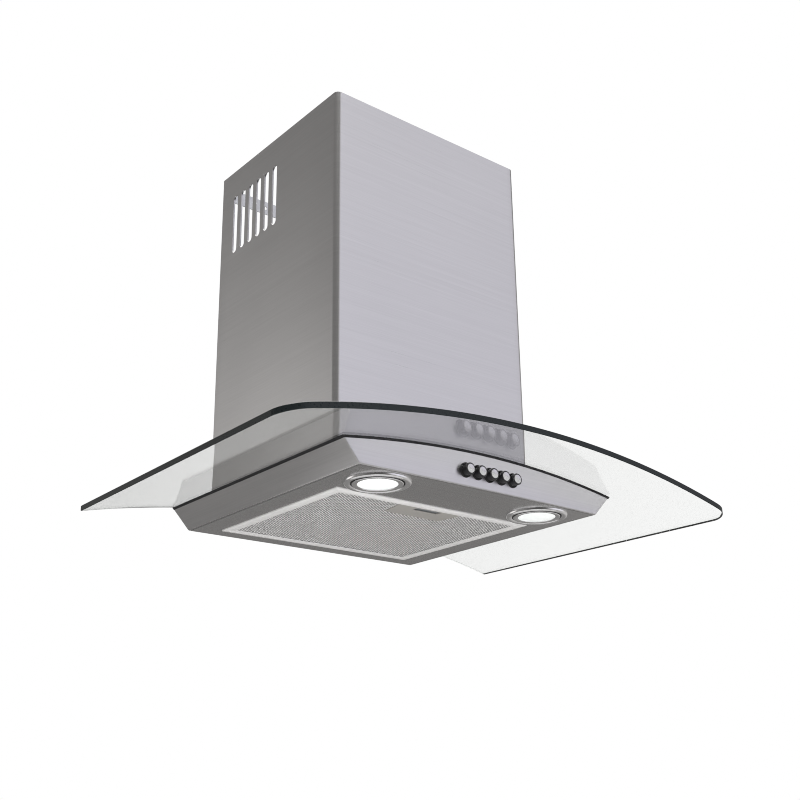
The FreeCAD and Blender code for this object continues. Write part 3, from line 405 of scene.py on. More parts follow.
def lamp_lens(colours):
    """Frosted lens: pale, finely pebbled, and glowing a little with painted light that lifts it out of the
    shade under the hood.
    """
    base = colours.lens

    def wiring(kit):
        pebble = kit.cells(900.0, "Distance")
        cloud = kit.noise((30, 30, 30), 2.0)
        return {
            "Base Color": kit.tint(cloud, shade(base, 0.96), shade(base, 1.03)),
            "Emission Color": kit.tint(cloud, shade(base, 0.94), shade(base, 1.04)),
            "Normal": kit.bump(pebble, 0.25, 0.0003),
        }

    # The emission strength is painted light on the lens.
    fixed = {"Roughness": 0.30, "IOR": 1.5, "Emission Strength": 0.34, "Coat Weight": 0.3}
    return new_finish("frosted_lens_painted_glow", fixed, wiring)


def lamp_source(colours):
    """Light source behind the lens: a white board with a faint grid of emitters."""
    base = colours.nylon

    def wiring(kit):
        dots = kit.cells(260.0, "Distance")
        return {"Base Color": kit.tint(dots, shade(base, 1.25), shade(base, 0.95)),
                "Emission Color": kit.tint(dots, (1, 1, 0.96, 1), (0.8, 0.8, 0.75, 1))}

    return new_finish("lamp_source", {"Roughness": 0.4, "Emission Strength": 0.8}, wiring)


FINISHES = {
    "canopy_glass": canopy_glass, "glass_edge_painted_shade": glass_edge_painted_shade, "polished_edge": polished_edge,
    "galvanised": galvanised, "painted_shade_core": painted_shade_core, "lamp_lens": lamp_lens, "lamp_source": lamp_source,
    "steel_upright": lambda c: brushed("brushed_steel_upright", c.steel, (14, 14, 2600), fixed=ANISOTROPY),
    "steel_level": lambda c: brushed("brushed_steel_level", c.steel, (14, 2600, 14), 0.22, 0.07, 0.03),
    "black_rubber": lambda c: plain_plastic("black_rubber", c.rubber, 0.62, 900.0),
    "black_plastic": lambda c: plain_plastic("black_plastic", c.black_plastic, 0.42),
    "blower_plastic": lambda c: plain_plastic("blower_plastic", c.grey_plastic, 0.50, 800.0),
    "white_nylon": lambda c: plain_plastic("white_nylon", c.nylon, 0.45),
    "chrome": lambda c: plated("chrome_trim", c.chrome, 0.12, 0.03),
    "zinc": lambda c: plated("zinc_plate", c.zinc, 0.26, 0.12),
    "spring_steel": lambda c: plated("spring_steel", shade(c.steel, 0.72), 0.22),
    # Etched and anodised, so that it scatters light more than bare metal. The frame's copy of the aluminium
    # is darker as painted shade and the mesh's lighter as a painted highlight.
    "aluminium": lambda c: plated("etched_aluminium_painted_shade", shade(c.aluminium, 0.78), 0.40, 0.05, 0.15),
    "mesh_aluminium_painted_highlight": lambda c: plated("mesh_aluminium_painted_highlight", shade(c.aluminium, 1.04), 0.32, 0.03, 0.10),
    "latch_paint": lambda c: satin_paint("latch_paint", c.latch, 0.42),
    "motor_paint_and_painted_shade": lambda c: satin_paint("motor_paint_and_painted_shade", c.motor, 0.38),
}
made_finishes = {}


def finish(name):
    if name not in made_finishes:
        made_finishes[name] = FINISHES[name](bpy.context.scene.hood_colours)
    return made_finishes[name]


# ---------------------------------------------------------------- meshes and pieces
def linked(name, data):
    """A new object in the scene."""
    item = bpy.data.objects.new(name, data)
    bpy.context.scene.collection.objects.link(item)
    return item


def place_piece(name, mesh, nodes, finishes, crease=35.0):
    """Puts a mesh in the scene as the piece that stands for some nodes of one body."""
    if mesh.materials:
        mesh.materials.clear()
    for item in finishes:
        mesh.materials.append(finish(item))
    mesh.shade_smooth()
    mesh.set_sharp_from_angle(angle=math.radians(crease))
    piece = linked(name, mesh)
    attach(piece, BODY_OF[nodes[0]])
    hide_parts(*nodes)
    return piece


def to_mesh(name, bm, outward=True):
    if outward:
        bmesh.ops.recalc_face_normals(bm, faces=bm.faces)
    mesh = bpy.data.meshes.new(name)
    bm.to_mesh(mesh)
    bm.free()
    return mesh


def rows_to_faces(bm, rows, closed_rows=True, wrap=False, bands=None):
    """Quads between rows of points of equal count. Bands give the material index of each stretch between
    two rows. Returns the rows' vertices."""
    made = [[bm.verts.new(point) for point in row] for row in rows]
    pairs = list(zip(made, made[1:])) + ([(made[-1], made[0])] if wrap else [])
    for band, (low, high) in enumerate(pairs):
        count = len(low)
        for i in range(count if closed_rows else count - 1):
            j = (i + 1) % count
            face = bm.faces.new((low[i], low[j], high[j], high[i]))
            face.material_index = (bands or {}).get(band, 0)
    return made


def rounded(corners, steps=8, closed=True):
    """Plan points of a polyline whose corners, given as (x, y, radius), are rounded."""
    points = []
    last = len(corners) - 1
    for i, (x, y, radius) in enumerate(corners):
        here = Vector((x, y))
        if radius <= 0 or (not closed and i in (0, last)):
            points.append(here)
            continue
        before = (Vector(corners[i - 1][:2]) - here).normalized()
        after = (Vector(corners[(i + 1) % len(corners)][:2]) - here).normalized()
        half = before.angle(after) / 2
        centre = here + (before + after).normalized() * radius / math.sin(half)
        start = here + before * radius / math.tan(half) - centre
        end = here + after * radius / math.tan(half) - centre
        first = math.atan2(start.y, start.x)
        turn = (math.atan2(end.y, end.x) - first + math.pi) % (2 * math.pi) - math.pi
        for k in range(steps + 1):
            angle = first + turn * k / steps
            points.append(centre + radius * Vector((math.cos(angle), math.sin(angle))))
    return points


def ring_rows(profile, centre, turned, count):
    """Rings of points round a centre, one for each (radius, height) of a profile."""
    rows = []
    for radius, height in profile:
        ring = []
        for k in range(count):
            angle = 2 * math.pi * k / count
            local = Vector((radius * math.cos(angle), radius * math.sin(angle), height))
            ring.append(centre + turned @ local)
        rows.append(ring)
    return rows


def revolved(name, profile, centre, turned=Matrix.Identity(3), count=72, bands=None):
    """A closed solid of revolution. Bands give the material index of each stretch of the profile."""
    bm = bmesh.new()
    rows_to_faces(bm, ring_rows(profile, centre, turned, count), wrap=True, bands=bands)
    bmesh.ops.remove_doubles(bm, verts=bm.verts, dist=1e-7)
    bmesh.ops.dissolve_degenerate(bm, edges=bm.edges, dist=1e-7)
    return to_mesh(name, bm)


def prism_mesh(name, points, low, high):
    """An upright prism over a plan outline."""
    bm = bmesh.new()
    rows = rows_to_faces(bm, [[(p.x, p.y, z) for p in points] for z in (low, high)])
    for row in rows:
        bm.faces.new(row)
    return to_mesh(name, bm)


def disc_mesh(name, radius, centre, axis, half_length, count=48):
    """A round bar along an axis, for cutting holes."""
    turned = axis.to_track_quat("Z", "Y").to_matrix()
    profile = [(0, -half_length), (radius, -half_length), (radius, half_length), (0, half_length)]
    return revolved(name, profile, centre, turned, count)


def carved(mesh, cutters, thickness=0.0):
    """The mesh as a sheet of this thickness, if any, with the cutters' shapes taken out."""
    block = linked(mesh.name, mesh)
    if thickness:
        wall = block.modifiers.new("wall", "SOLIDIFY")
        wall.thickness = thickness
        wall.offset = -1.0
        wall.use_even_offset = True
    tools = []
    for cutter in cutters:
        tool = linked(cutter.name, cutter)
        cut = block.modifiers.new("cut", "BOOLEAN")
        cut.object = tool
        cut.operation = "DIFFERENCE"
        cut.solver = "EXACT"
        tools.append(tool)
    result = bpy.data.meshes.new_from_object(block.evaluated_get(bpy.context.evaluated_depsgraph_get()))
    for item in [block] + tools:
        bpy.data.objects.remove(item)
    return result


def grown(tree, values, base=None):
    """Runs a node tree on a mesh with named input values, and returns the plain mesh that it makes."""
    holder = linked(tree.name, base or bpy.data.meshes.new(tree.name))
    modifier = holder.modifiers.new("grow", "NODES")
    modifier.node_group = tree
    for item in tree.interface.items_tree:
        if item.in_out == "INPUT" and item.name in values:
            modifier[item.identifier] = values[item.name]
    result = bpy.data.meshes.new_from_object(holder.evaluated_get(bpy.context.evaluated_depsgraph_get()))
    bpy.data.objects.remove(holder)
    return result


def growing_tree(name, inputs):
    """An empty Geometry Nodes tree with a geometry in and out and these named inputs."""
    tree = bpy.data.node_groups.new(name, "GeometryNodeTree")
    tree.interface.new_socket("Geometry", in_out="INPUT", socket_type="NodeSocketGeometry")
    for label, kind in inputs.items():
        tree.interface.new_socket(label, in_out="INPUT", socket_type="NodeSocket" + kind)
    tree.interface.new_socket("Geometry", in_out="OUTPUT", socket_type="NodeSocketGeometry")
    kit = NodeKit(tree)
    source = tree.nodes.new("NodeGroupInput")
    wires = {label: Wire(kit, source.outputs[label]) for label in ["Geometry", *inputs]}
    return tree, kit, wires


def close_tree(kit, given, shape):
    """Gives the shape its finish and sends it to the tree's output."""
    plain = kit.node("GeometryNodeRealizeInstances", {}, [shape])
    coated = kit.node("GeometryNodeSetMaterial", {}, {"Geometry": plain, "Material": given["Finish"]})
    kit.node("NodeGroupOutput", {}, [coated])


def own_shape(node):
    """A node's own mesh with its seams closed."""
    bm = bmesh.new()
    bm.from_mesh(frame["nodes"][node].data)
    bmesh.ops.remove_doubles(bm, verts=bm.verts, dist=2e-6)
    return bm


def softened(node, finish_name, width=None):
    """A node's own shape with its sharp edges slightly rounded, in its place."""
    bm = own_shape(node)
    bmesh.ops.dissolve_limit(bm, angle_limit=math.radians(0.4), verts=bm.verts, edges=bm.edges)
    piece = place_piece(node + "_piece", to_mesh(node + "_piece", bm, False), [node], [finish_name])
    bevel = piece.modifiers.new("edges", "BEVEL")
    bevel.width = width or bpy.context.scene.hood_sizes.soft_edge
    bevel.segments = 2
    bevel.limit_method = "ANGLE"
    bevel.angle_limit = math.radians(38)
    bevel.harden_normals = True


def sprung(node, travel):
    """A return spring's own shape, in its place."""
    name = node + "_coils"
    piece = place_piece(name, to_mesh(name, own_shape(node), False), [node], ["spring_steel"])
    low, high = box_of(node)
    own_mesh(piece)


def dressed(nodes, finish_name):
    """Gives nodes that keep their own mesh a finish."""
    for node in nodes:
        for holder in frame["nodes"][node].material_slots:
            holder.material = finish(finish_name)


# ---------------------------------------------------------------- canopy
def arch_level(sizes, x, rise=0.0):
    """Height of the canopy's underside at x, or of the arch this far outside it."""
    crown = box_of("glass_canopy")[1].z - sizes.glass_thickness
    radius = sizes.arch_radius + rise
    return crown - sizes.arch_radius + math.sqrt(radius ** 2 - x ** 2)


def canopy_outline(sizes, inset):
    """The canopy's plan, drawn in by an inset: straight rear and sides, bowed front, round corners."""
    low, high = box_of("glass_canopy")
    half = sizes.glass_front_width / 2 - inset
    rear_half = sizes.glass_rear_width / 2 - inset
    front = low.y + inset
    side_y = front + sizes.glass_bow
    corner = sizes.glass_corner - inset
    first = half - 1.25 * sizes.glass_corner
    steps = 36
    corners = [(-rear_half, high.y - inset, 0), (-half, side_y, corner)]
    for k in range(steps + 1):
        x = first * (2 * k / steps - 1)
        corners.append((x, front + sizes.glass_bow * (x / half) ** 2, 0))
    corners += [(half, side_y, corner), (rear_half, high.y - inset, 0)]
    return rounded(corners, steps=14)


def throat_outline(sizes):
    """The air passage through the canopy, set in from the outer sides of its gaskets."""
    low, high = box_of("throat_gaskets")
    x = high.x - sizes.throat_side
    front, rear = low.y + sizes.throat_front, -sizes.throat_rear
    return [Vector((-x, front)), Vector((x, front)), Vector((x, rear)), Vector((-x, rear))]


def between(chain, x):
    """The y at x along a chain of points that runs from left to right."""
    for start, end in zip(chain, chain[1:]):
        if x <= end.x:
            share = (x - start.x) / max(end.x - start.x, 1e-9)
            return start.y + (end.y - start.y) * max(0.0, min(1.0, share))
    return chain[-1].y


def plate_chains(sizes, inset, shares):
    """Front and rear edges of the plate as rows of points at shares of its half width."""
    outline = canopy_outline(sizes, inset)
    left = min(range(len(outline)), key=lambda i: outline[i].x)
    right = max(range(len(outline)), key=lambda i: outline[i].x)
    front = outline[left:right + 1]
    rear = (outline[right:] + outline[:left + 1])[::-1]
    half = outline[right].x
    places = [share * half for share in shares]
    return [[Vector((x, between(chain, x))) for x in places] for chain in (front, rear)]


def flat_faces(bm, front, rear, hole_front, hole_rear):
    """Faces between the plate's front and rear edges, left open at the throat."""
    columns = []
    for i, pair in enumerate(zip(front, rear)):
        columns.append([pair[0], hole_front[i], hole_rear[i], pair[1]] if i in hole_front else list(pair))
    for left, right in zip(columns, columns[1:]):
        if len(left) == 4 and len(right) == 4:
            bm.faces.new((left[0], right[0], right[1], left[1]))
            bm.faces.new((left[2], right[2], right[3], left[3]))
        else:
            ring = left + right[::-1]
            bm.faces.new(list(dict.fromkeys(ring)))


def canopy_mesh(sizes):
    """A flat plate in narrow strips, with edges of two finishes, one of them painted shade, and a throat,
    which is then arched.
    """
    thick = sizes.glass_thickness
    arris = sizes.glass_arris
    hole = throat_outline(sizes)
    half = max(p.x for p in canopy_outline(sizes, 0.0))
    strips = 100
    steps = {round(2 * k / strips - 1, 6) for k in range(strips + 1)}
    steps |= {round(p.x / half, 6) for p in canopy_outline(sizes, 0.0) if abs(p.x) > 0.9 * half}
    edge = round(hole[1].x / half, 6)
    steps = {s for s in steps if abs(abs(s) - edge) > 0.004}
    shares = sorted(steps | {-edge, edge})
    inside = [i for i, share in enumerate(shares) if abs(share) <= edge]
    bm = bmesh.new()
    wall_edge = box_of("glass_canopy")[1].y - 2 * thick
    rims = []
    for inset, level in ((arris, 0.0), (0.0, arris), (0.0, thick - arris), (arris, thick)):
        front, rear = plate_chains(sizes, inset, shares)
        low = [bm.verts.new((p.x, p.y, level)) for p in front]
        high = [low[0]] + [bm.verts.new((p.x, p.y, level)) for p in rear[1:-1]] + [low[-1]]
        rims.append((low, high))
    for (low, high), (low_next, high_next) in zip(rims, rims[1:]):
        for chain, after in ((low, low_next), (high, high_next)):
            for i in range(len(chain) - 1):
                face = bm.faces.new((chain[i], chain[i + 1], after[i + 1], after[i]))
                face.normal_update()
                middle = face.calc_center_median()
                # Edges that are not polished get painted shade, a dark opaque finish in place of the glass.
                polished = middle.y > wall_edge or (middle.x > 0 and abs(face.normal.x) > 0.5)
                face.material_index = 2 if polished else 1
    sills = []
    for (low, high), level in ((rims[0], 0.0), (rims[-1], thick)):
        hole_front, hole_rear = [{i: bm.verts.new((low[i].co.x, corner.y, level)) for i in inside}
                                 for corner in (hole[0], hole[2])]
        flat_faces(bm, low, high, hole_front, hole_rear)
        ring = [hole_front[i] for i in inside] + [hole_rear[i] for i in reversed(inside)]
        sills.append(ring)
    for i in range(len(sills[0])):
        j = (i + 1) % len(sills[0])
        bm.faces.new((sills[0][i], sills[0][j], sills[1][j], sills[1][i])).material_index = 1
    for vert in bm.verts:
        low, high = arch_level(sizes, vert.co.x), arch_level(sizes, vert.co.x, thick)
        vert.co.z = low + (high - low) * vert.co.z / thick
    return to_mesh("canopy", bm)


class HOOD_OT_canopy(bpy.types.Operator):
    """Make the arched glass canopy with its edges in painted shade and its pale edges"""
    bl_idname = "hood.canopy"
    bl_label = "Canopy"

    def execute(self, context):
        mesh = canopy_mesh(context.scene.hood_sizes)
        place_piece("canopy", mesh, ["glass_canopy"], ["canopy_glass", "glass_edge_painted_shade", "polished_edge"],
                    25.0)
        dressed(["glass_gasket", "throat_gaskets"], "black_rubber")
        dressed(["glass_bushes"], "white_nylon")
        return {"FINISHED"}


# ---------------------------------------------------------------- body
def body_plan(sizes, level, inset):
    """Plan of the body's walls at a level, open at the rear: sides, bowed fascia and tight folds."""
    low = box_of("body_shell")[0]
    height = box_of("glass_canopy")[1].z - sizes.glass_thickness - low.z
    corner_height = arch_level(sizes, sizes.body_top_width / 2) - low.z
    widening = (sizes.body_top_width - sizes.body_bottom_width) / 2 / corner_height
    deepening = (sizes.body_top_depth - sizes.body_bottom_depth) / height
    half = sizes.body_bottom_width / 2 + widening * (level - low.z) - inset
    side_y = -(sizes.body_bottom_depth + deepening * (level - low.z) - sizes.body_bow - inset)
    bend = max(sizes.body_bend - inset, 0.0003)
    steps = 28
    corners = [(-half, 0.0, 0), (-half, side_y, bend)]
    for k in range(1, steps):
        x = half * (2 * k / steps - 1)
        corners.append((x, side_y - sizes.body_bow * (1 - (x / half) ** 2), 0))
    corners += [(half, side_y, bend), (half, 0.0, 0)]
    return rounded(corners, steps=5, closed=False)


def fascia_y(sizes, x, z):
    """The fascia's outer face."""
    low = box_of("body_shell")[0]
    height = box_of("glass_canopy")[1].z - sizes.glass_thickness - low.z
    depth = sizes.body_bottom_depth + (sizes.body_top_depth - sizes.body_bottom_depth) * (z - low.z) / height
    return -(depth - sizes.body_bow * (2 * x / sizes.body_bottom_width) ** 2)


def body_mesh(sizes):
    """The body's outer face: underside, seam, folds and walls up to the gasket's arch."""
    base = box_of("body_shell")[0].z
    bend = sizes.body_bend
    inner = bend + sizes.seam_width
    seam = base + sizes.seam_depth
    rows = [[(p.x, p.y, level) for p in body_plan(sizes, base, inset)]
            for inset, level in ((inner, base), (inner, seam), (bend, seam))]
    for k in range(5):
        angle = math.radians(22.5 * k)
        level = base + bend * (1 - math.cos(angle))
        rows.append([(p.x, p.y, level) for p in body_plan(sizes, level, bend * (1 - math.sin(angle)))])
    lower = body_plan(sizes, base, 0.0)
    rise = 0.01
    slope = [(b - a) / rise for a, b in zip(lower, body_plan(sizes, base + rise, 0.0))]
    start = base + bend
    tops = []
    for place, drift in zip(lower, slope):
        level = arch_level(sizes, place.x, -sizes.gasket)
        for _ in range(8):
            level = arch_level(sizes, place.x + drift.x * (level - base), -sizes.gasket)
        tops.append(level)
    for share in (0.5, 1.0):
        row = []
        for place, drift, top in zip(lower, slope, tops):
            level = start + (top - start) * share
            spot = place + drift * (level - base)
            row.append((spot.x, spot.y, level))
        rows.append(row)
    bm = bmesh.new()
    made = rows_to_faces(bm, rows, closed_rows=False)
    bm.faces.new(made[0])
    return to_mesh("body", bm)


def body_cutters(sizes):
    """The openings for the filter, the lamps and the buttons."""
    low, high = box_of("filter_frame")
    gap, reach = sizes.filter_gap, 0.01
    corners = [(low.x - gap, low.y - gap), (high.x + gap, low.y - gap), (high.x + gap, high.y + gap),
               (low.x - gap, high.y + gap)]
    base = box_of("body_shell")[0].z
    cutters = [prism_mesh("filter_opening", [Vector(c) for c in corners], base - reach, base + reach)]
    for side in ("left", "right"):
        cup_low, cup_high = box_of("lamp_cup_" + side)
        centre = (cup_low + cup_high) / 2
        centre.z = base
        cutters.append(disc_mesh("lamp_hole", sizes.lamp_hole, centre, Vector((0, 0, 1)), reach, 64))
    for i in range(1, 6):
        low, high = box_of("button_%d" % i)
        centre = (low + high) / 2
        centre.y = fascia_y(sizes, centre.x, centre.z)
        cutters.append(disc_mesh("button_hole", sizes.button_hole, centre, Vector((0, 1, 0)), reach))
    return cutters


class HOOD_OT_body(bpy.types.Operator):
    """Make the folded steel body and finish the sheets behind it"""
    bl_idname = "hood.body"
    bl_label = "Body"

    def execute(self, context):
        sizes = context.scene.hood_sizes
        mesh = carved(body_mesh(sizes), body_cutters(sizes), sizes.sheet)
        piece = place_piece("body", mesh, ["body_shell"], ["steel_upright", "steel_level"], 25.0)
        for face in piece.data.polygons:
            face.material_index = 1 if abs(face.normal.z) > 0.9 else 0
        dressed(["body_deck"], "steel_level")
        dressed(["body_rear_plate"], "steel_upright")
        return {"FINISHED"}


# ---------------------------------------------------------------- chimney
def cover_section(sizes, node, inset, steps):
    """Half-open plan of a cover's wall face: returns, sides and front, in one run."""
    low, high = box_of(node)
    half = high.x - inset
    rear = high.y - inset
    front = low.y + inset
    lip = high.x - sizes.cover_return
    fold = max(sizes.cover_rear_bend - inset, 0.0004)
    bend = (sizes.cover_bend if node == "chimney_lower" else sizes.cover_bend - sizes.sheet) - inset
    corners = [(-lip, rear, 0), (-half, rear, fold), (-half, front, bend)]
    for k in range(steps + 1):
        corners.append(((half - 2 * bend) * (2 * k / steps - 1), front, 0))
    corners += [(half, front, bend), (half, rear, fold), (lip, rear, 0)]
    return rounded(corners, steps=8, closed=False)


def cover_foot(sizes, node, x):
    """Height of a cover's lower edge at x. The outer cover's follows the arch of the glass."""
    if node == "chimney_lower":
        return arch_level(sizes, x, sizes.glass_thickness + sizes.cover_gap)
    return box_of(node)[0].z


def cover_mesh(sizes, node):
    """A folded cover from its foot to its top."""
    section = cover_section(sizes, node, 0.0, 30) + cover_section(sizes, node, sizes.sheet, 30)[::-1]
    top = box_of(node)[1].z
    bm = bmesh.new()
    rows = [[(p.x, p.y, cover_foot(sizes, node, p.x)) for p in section], [(p.x, p.y, top) for p in section]]
    made = rows_to_faces(bm, rows)
    half = len(section) // 2
    for row in made:
        for i in range(half - 1):
            bm.faces.new((row[i], row[i + 1], row[-2 - i], row[-1 - i]))
    return to_mesh(node, bm)


def slot_tree():
    """Cuts a row of round-ended slots right through a cover."""
    inputs = {"Slots": "Int", "Pitch": "Float", "Width": "Float", "Height": "Float", "Reach": "Float",
              "First": "Vector", "Finish": "Material"}
    tree, kit, given = growing_tree("vent_slots", inputs)
    outline = kit.node("GeometryNodeCurvePrimitiveQuadrilateral", {},
                       {"Width": given["Width"], "Height": given["Height"]})
    rounding = kit.node("GeometryNodeFilletCurve", {"mode": "POLY"},
                        {"Curve": outline, "Radius": given["Width"] * 0.4999, "Count": 10})
    ends = [kit.combine(given["Reach"] * side) for side in (-1.0, 1.0)]
    run = kit.node("GeometryNodeCurvePrimitiveLine", {}, {"Start": ends[0], "End": ends[1]})
    cutter = kit.node("GeometryNodeCurveToMesh", {},
                      {"Curve": run, "Profile Curve": rounding, "Fill Caps": True})
    step = kit.combine(0.0, given["Pitch"] * -1.0, 0.0)
    places = kit.node("GeometryNodeMeshLine", {},
                      {"Count": given["Slots"], "Start Location": given["First"], "Offset": step})
    row = kit.node("GeometryNodeInstanceOnPoints", {}, {"Points": places, "Instance": cutter})
    solid = kit.node("GeometryNodeRealizeInstances", {}, [row])
    cut = kit.node("GeometryNodeMeshBoolean", {"operation": "DIFFERENCE", "solver": "EXACT"},
                   {"Mesh 1": given["Geometry"], "Mesh 2": solid})
    close_tree(kit, given, cut)
    return tree


class HOOD_OT_chimney(bpy.types.Operator):
    """Make the two nested chimney covers with their vent slots"""
    bl_idname = "hood.chimney"
    bl_label = "Chimney"

    def execute(self, context):
        sizes = context.scene.hood_sizes
        tree = slot_tree()
        top = box_of("chimney_lower")[1].z
        reach = 0.2
        for node, name, wider in (("chimney_lower", "outer_cover", 0.0),
                                  ("chimney_upper", "inner_cover", sizes.slot_widening)):
            values = {
                "Slots": sizes.slot_count, "Pitch": sizes.slot_pitch, "Width": sizes.slot_width + wider,
                "Height": sizes.slot_height + wider, "Reach": reach, "Finish": finish("steel_upright"),
                "First": (0.0, -sizes.slot_first, top - sizes.slot_top - sizes.slot_height / 2),
            }
            mesh = grown(tree, values, cover_mesh(sizes, node))
            place_piece(name, mesh, [node], ["steel_upright"], 25.0)
        softened("chimney_wall_bracket", "galvanised")
        softened("cover_clips", "spring_steel", 0.0002)
        return {"FINISHED"}


# ---------------------------------------------------------------- lamps
class HOOD_OT_lamps(bpy.types.Operator):
    """Make the lamps: chromed rims with a groove in painted shade, frosted lenses, cups and clips"""
    bl_idname = "hood.lamps"
    bl_label = "Lamps"

    def execute(self, context):
        groove = context.scene.hood_sizes.groove_radius
        for side in ("left", "right"):
            low, high = box_of("lamp_bezel_" + side)
            centre = Vector(((low.x + high.x) / 2, (low.y + high.y) / 2, 0))
            outer = (high.x - low.x) / 2
            lens_low, lens_high = box_of("lamp_lens_" + side)
            inner = (lens_high.x - lens_low.x) / 2
            top, face = high.z, low.z
            lip = context.scene.hood_sizes.lens_opening
            rim = [
                (outer, top), (outer - 0.0003, face + 0.0014), (outer - 0.0009, face + 0.0006),
                (outer - 0.0019, face + 0.0001), (outer - 0.0032, face), (outer - 0.0046, face + 0.0003),
                (groove + 0.0009, face + 0.0008), (groove + 0.0006, face + 0.0012),
                (groove + 0.0006, face + 0.0023), (groove - 0.0006, face + 0.0023),
                (groove - 0.0006, face + 0.0006), (groove - 0.0010, face + 0.0001),
                (groove - 0.0016, face), (lip + 0.0006, face + 0.0004), (lip, face + 0.0007), (lip, top),
            ]
            # Bands 7 to 9 line the rim's groove with black, painted shade in the recess.
            mesh = revolved("lamp_rim_" + side, rim, centre, count=128, bands={7: 1, 8: 1, 9: 1})
            place_piece("lamp_rim_" + side, mesh, ["lamp_bezel_" + side], ["chrome", "black_plastic"], 50.0)
            crown = lens_low.z
            dome = [(0, crown), (inner * 0.35, crown + 0.00003), (inner * 0.65, crown + 0.00014),
                    (inner * 0.88, crown + 0.00034), (inner - 0.0004, crown + 0.0005),
                    (inner, crown + 0.0008), (inner, lens_high.z), (0, lens_high.z)]
            lens = revolved("lamp_lens_" + side, dome, centre, count=96)
            place_piece("lens_" + side, lens, ["lamp_lens_" + side], ["lamp_lens"], 50.0)
            softened("lamp_cup_" + side, "motor_paint_and_painted_shade")
        dressed(["lamp_leds"], "lamp_source")
        dressed(["lamp_clips"], "spring_steel")
        return {"FINISHED"}


# ---------------------------------------------------------------- buttons
class HOOD_OT_buttons(bpy.types.Operator):
    """Make the push buttons and their collars, and finish the switches behind them"""
    bl_idname = "hood.buttons"
    bl_label = "Buttons"

    def execute(self, context):
        sizes = context.scene.hood_sizes
        outward = Vector((0, -1, 0)).to_track_quat("Z", "Y").to_matrix()
        collars = bmesh.new()
        for i in range(1, 6):
            node = "button_%d" % i
            low, high = box_of(node)
            centre = (low + high) / 2
            radius = (high.x - low.x) / 2
            head = (high.y - low.y) / 2
            round_off, dish = 0.0008, 0.00022
            profile = [(0, -head), (radius, -head), (radius, head - round_off)]
            for k in range(1, 5):
                angle = math.radians(22.5 * k)
                across, along = round_off * (1 - math.cos(angle)), round_off * (1 - math.sin(angle))
                profile.append((radius - across, head - along))
            profile += [(radius - 0.0016, head), (radius - 0.0021, head - dish), (0, head - dish)]
            # The back, the side and the rounded edge are black, a painted dark reflection on the button's
            # metal side.
            sides = {band: 1 for band in range(7)}
            mesh = revolved(node, profile, centre, outward, 48, sides)
            place_piece("push_%d" % i, mesh, [node], ["steel_level", "black_plastic"], 50.0)
            section = [(0.0078, -0.0002), (0.0078, 0.0006), (0.0075, 0.0010), (0.0070, 0.0012),
                       (0.0067, 0.0010), (0.0065, 0.0006), (0.0065, -0.0034), (0.0071, -0.0034),
                       (0.0071, -0.0002)]
            rows = []
            for ring, proud in section:
                row = []
                for k in range(48):
                    angle = 2 * math.pi * k / 48
                    x, z = centre.x + ring * math.cos(angle), centre.z + ring * math.sin(angle)
                    seat = fascia_y(sizes, x, z) if proud > -0.001 else fascia_y(sizes, centre.x, centre.z)
                    row.append((x, seat - proud, z))
                rows.append(row)
            rows_to_faces(collars, rows, wrap=True)
            sprung("button_spring_%d" % i, sizes.button_travel)
        place_piece("collars", to_mesh("collars", collars), ["button_collars"], ["black_plastic"], 50.0)
        dressed(["switch_housing"], "black_plastic")
        dressed(["switch_studs"], "zinc")
        return {"FINISHED"}


# ---------------------------------------------------------------- filter
def rail_mesh(name, sizes, low, high, along, outward):
    """One mitred rail of the filter frame: an open channel with a step along its lower face."""
    z0, z1 = low.z, high.z
    wide, skin, gap = sizes.filter_rail, 0.0008, 0.0001
    section = [(0.0, z1), (0.0, z0 + 0.0006), (0.0002, z0 + 0.0002), (0.0006, z0), (0.0050, z0),
               (0.0054, z0 + 0.0005), (0.0062, z0 + 0.0005), (0.0066, z0), (wide - 0.0006, z0),
               (wide - 0.0002, z0 + 0.0002), (wide, z0 + 0.0006), (wide, z0 + skin), (skin, z0 + skin),
               (skin, z1 - skin), (wide, z1 - skin), (wide, z1)]
    centre = (low + high) / 2
    reach = abs(along.dot(high - low)) / 2
    edge = abs(outward.dot(high - low)) / 2
    rows = []
    for end in (-1, 1):
        row = []
        for inset, z in section:
            spot = centre + along * end * (reach - inset - gap) + outward * (edge - inset)
            row.append((spot.x, spot.y, z))
        rows.append(row)
    bm = bmesh.new()
    for row in rows_to_faces(bm, rows):
        bm.faces.new(row)
    return to_mesh(name, bm)


def latch_cutters(sizes):
    """The latch's seat in the front rail, and the way of its bolt."""
    low, high = box_of("latch_plate")
    taper, half, gap, play, bolt_depth = sizes.latch_taper, sizes.latch_bolt, 0.0001, 0.0003, 0.0014
    corners = [(low.x - gap, low.y - gap), (high.x + gap, low.y - gap), (high.x - taper, high.y + gap),
               (low.x + taper, high.y + gap)]
    bolt = box_of("latch_slide")
    level = (bolt[0].z + bolt_depth - play, bolt[1].z + play)
    end = bolt[0].y - 0.002
    way = [(-half, end), (half, end), (half, low.y), (-half, low.y)]
    return [prism_mesh("seat", [Vector(c) for c in corners], low.z - 0.001, high.z + 0.005),
            prism_mesh("way", [Vector(c) for c in way], *level)]


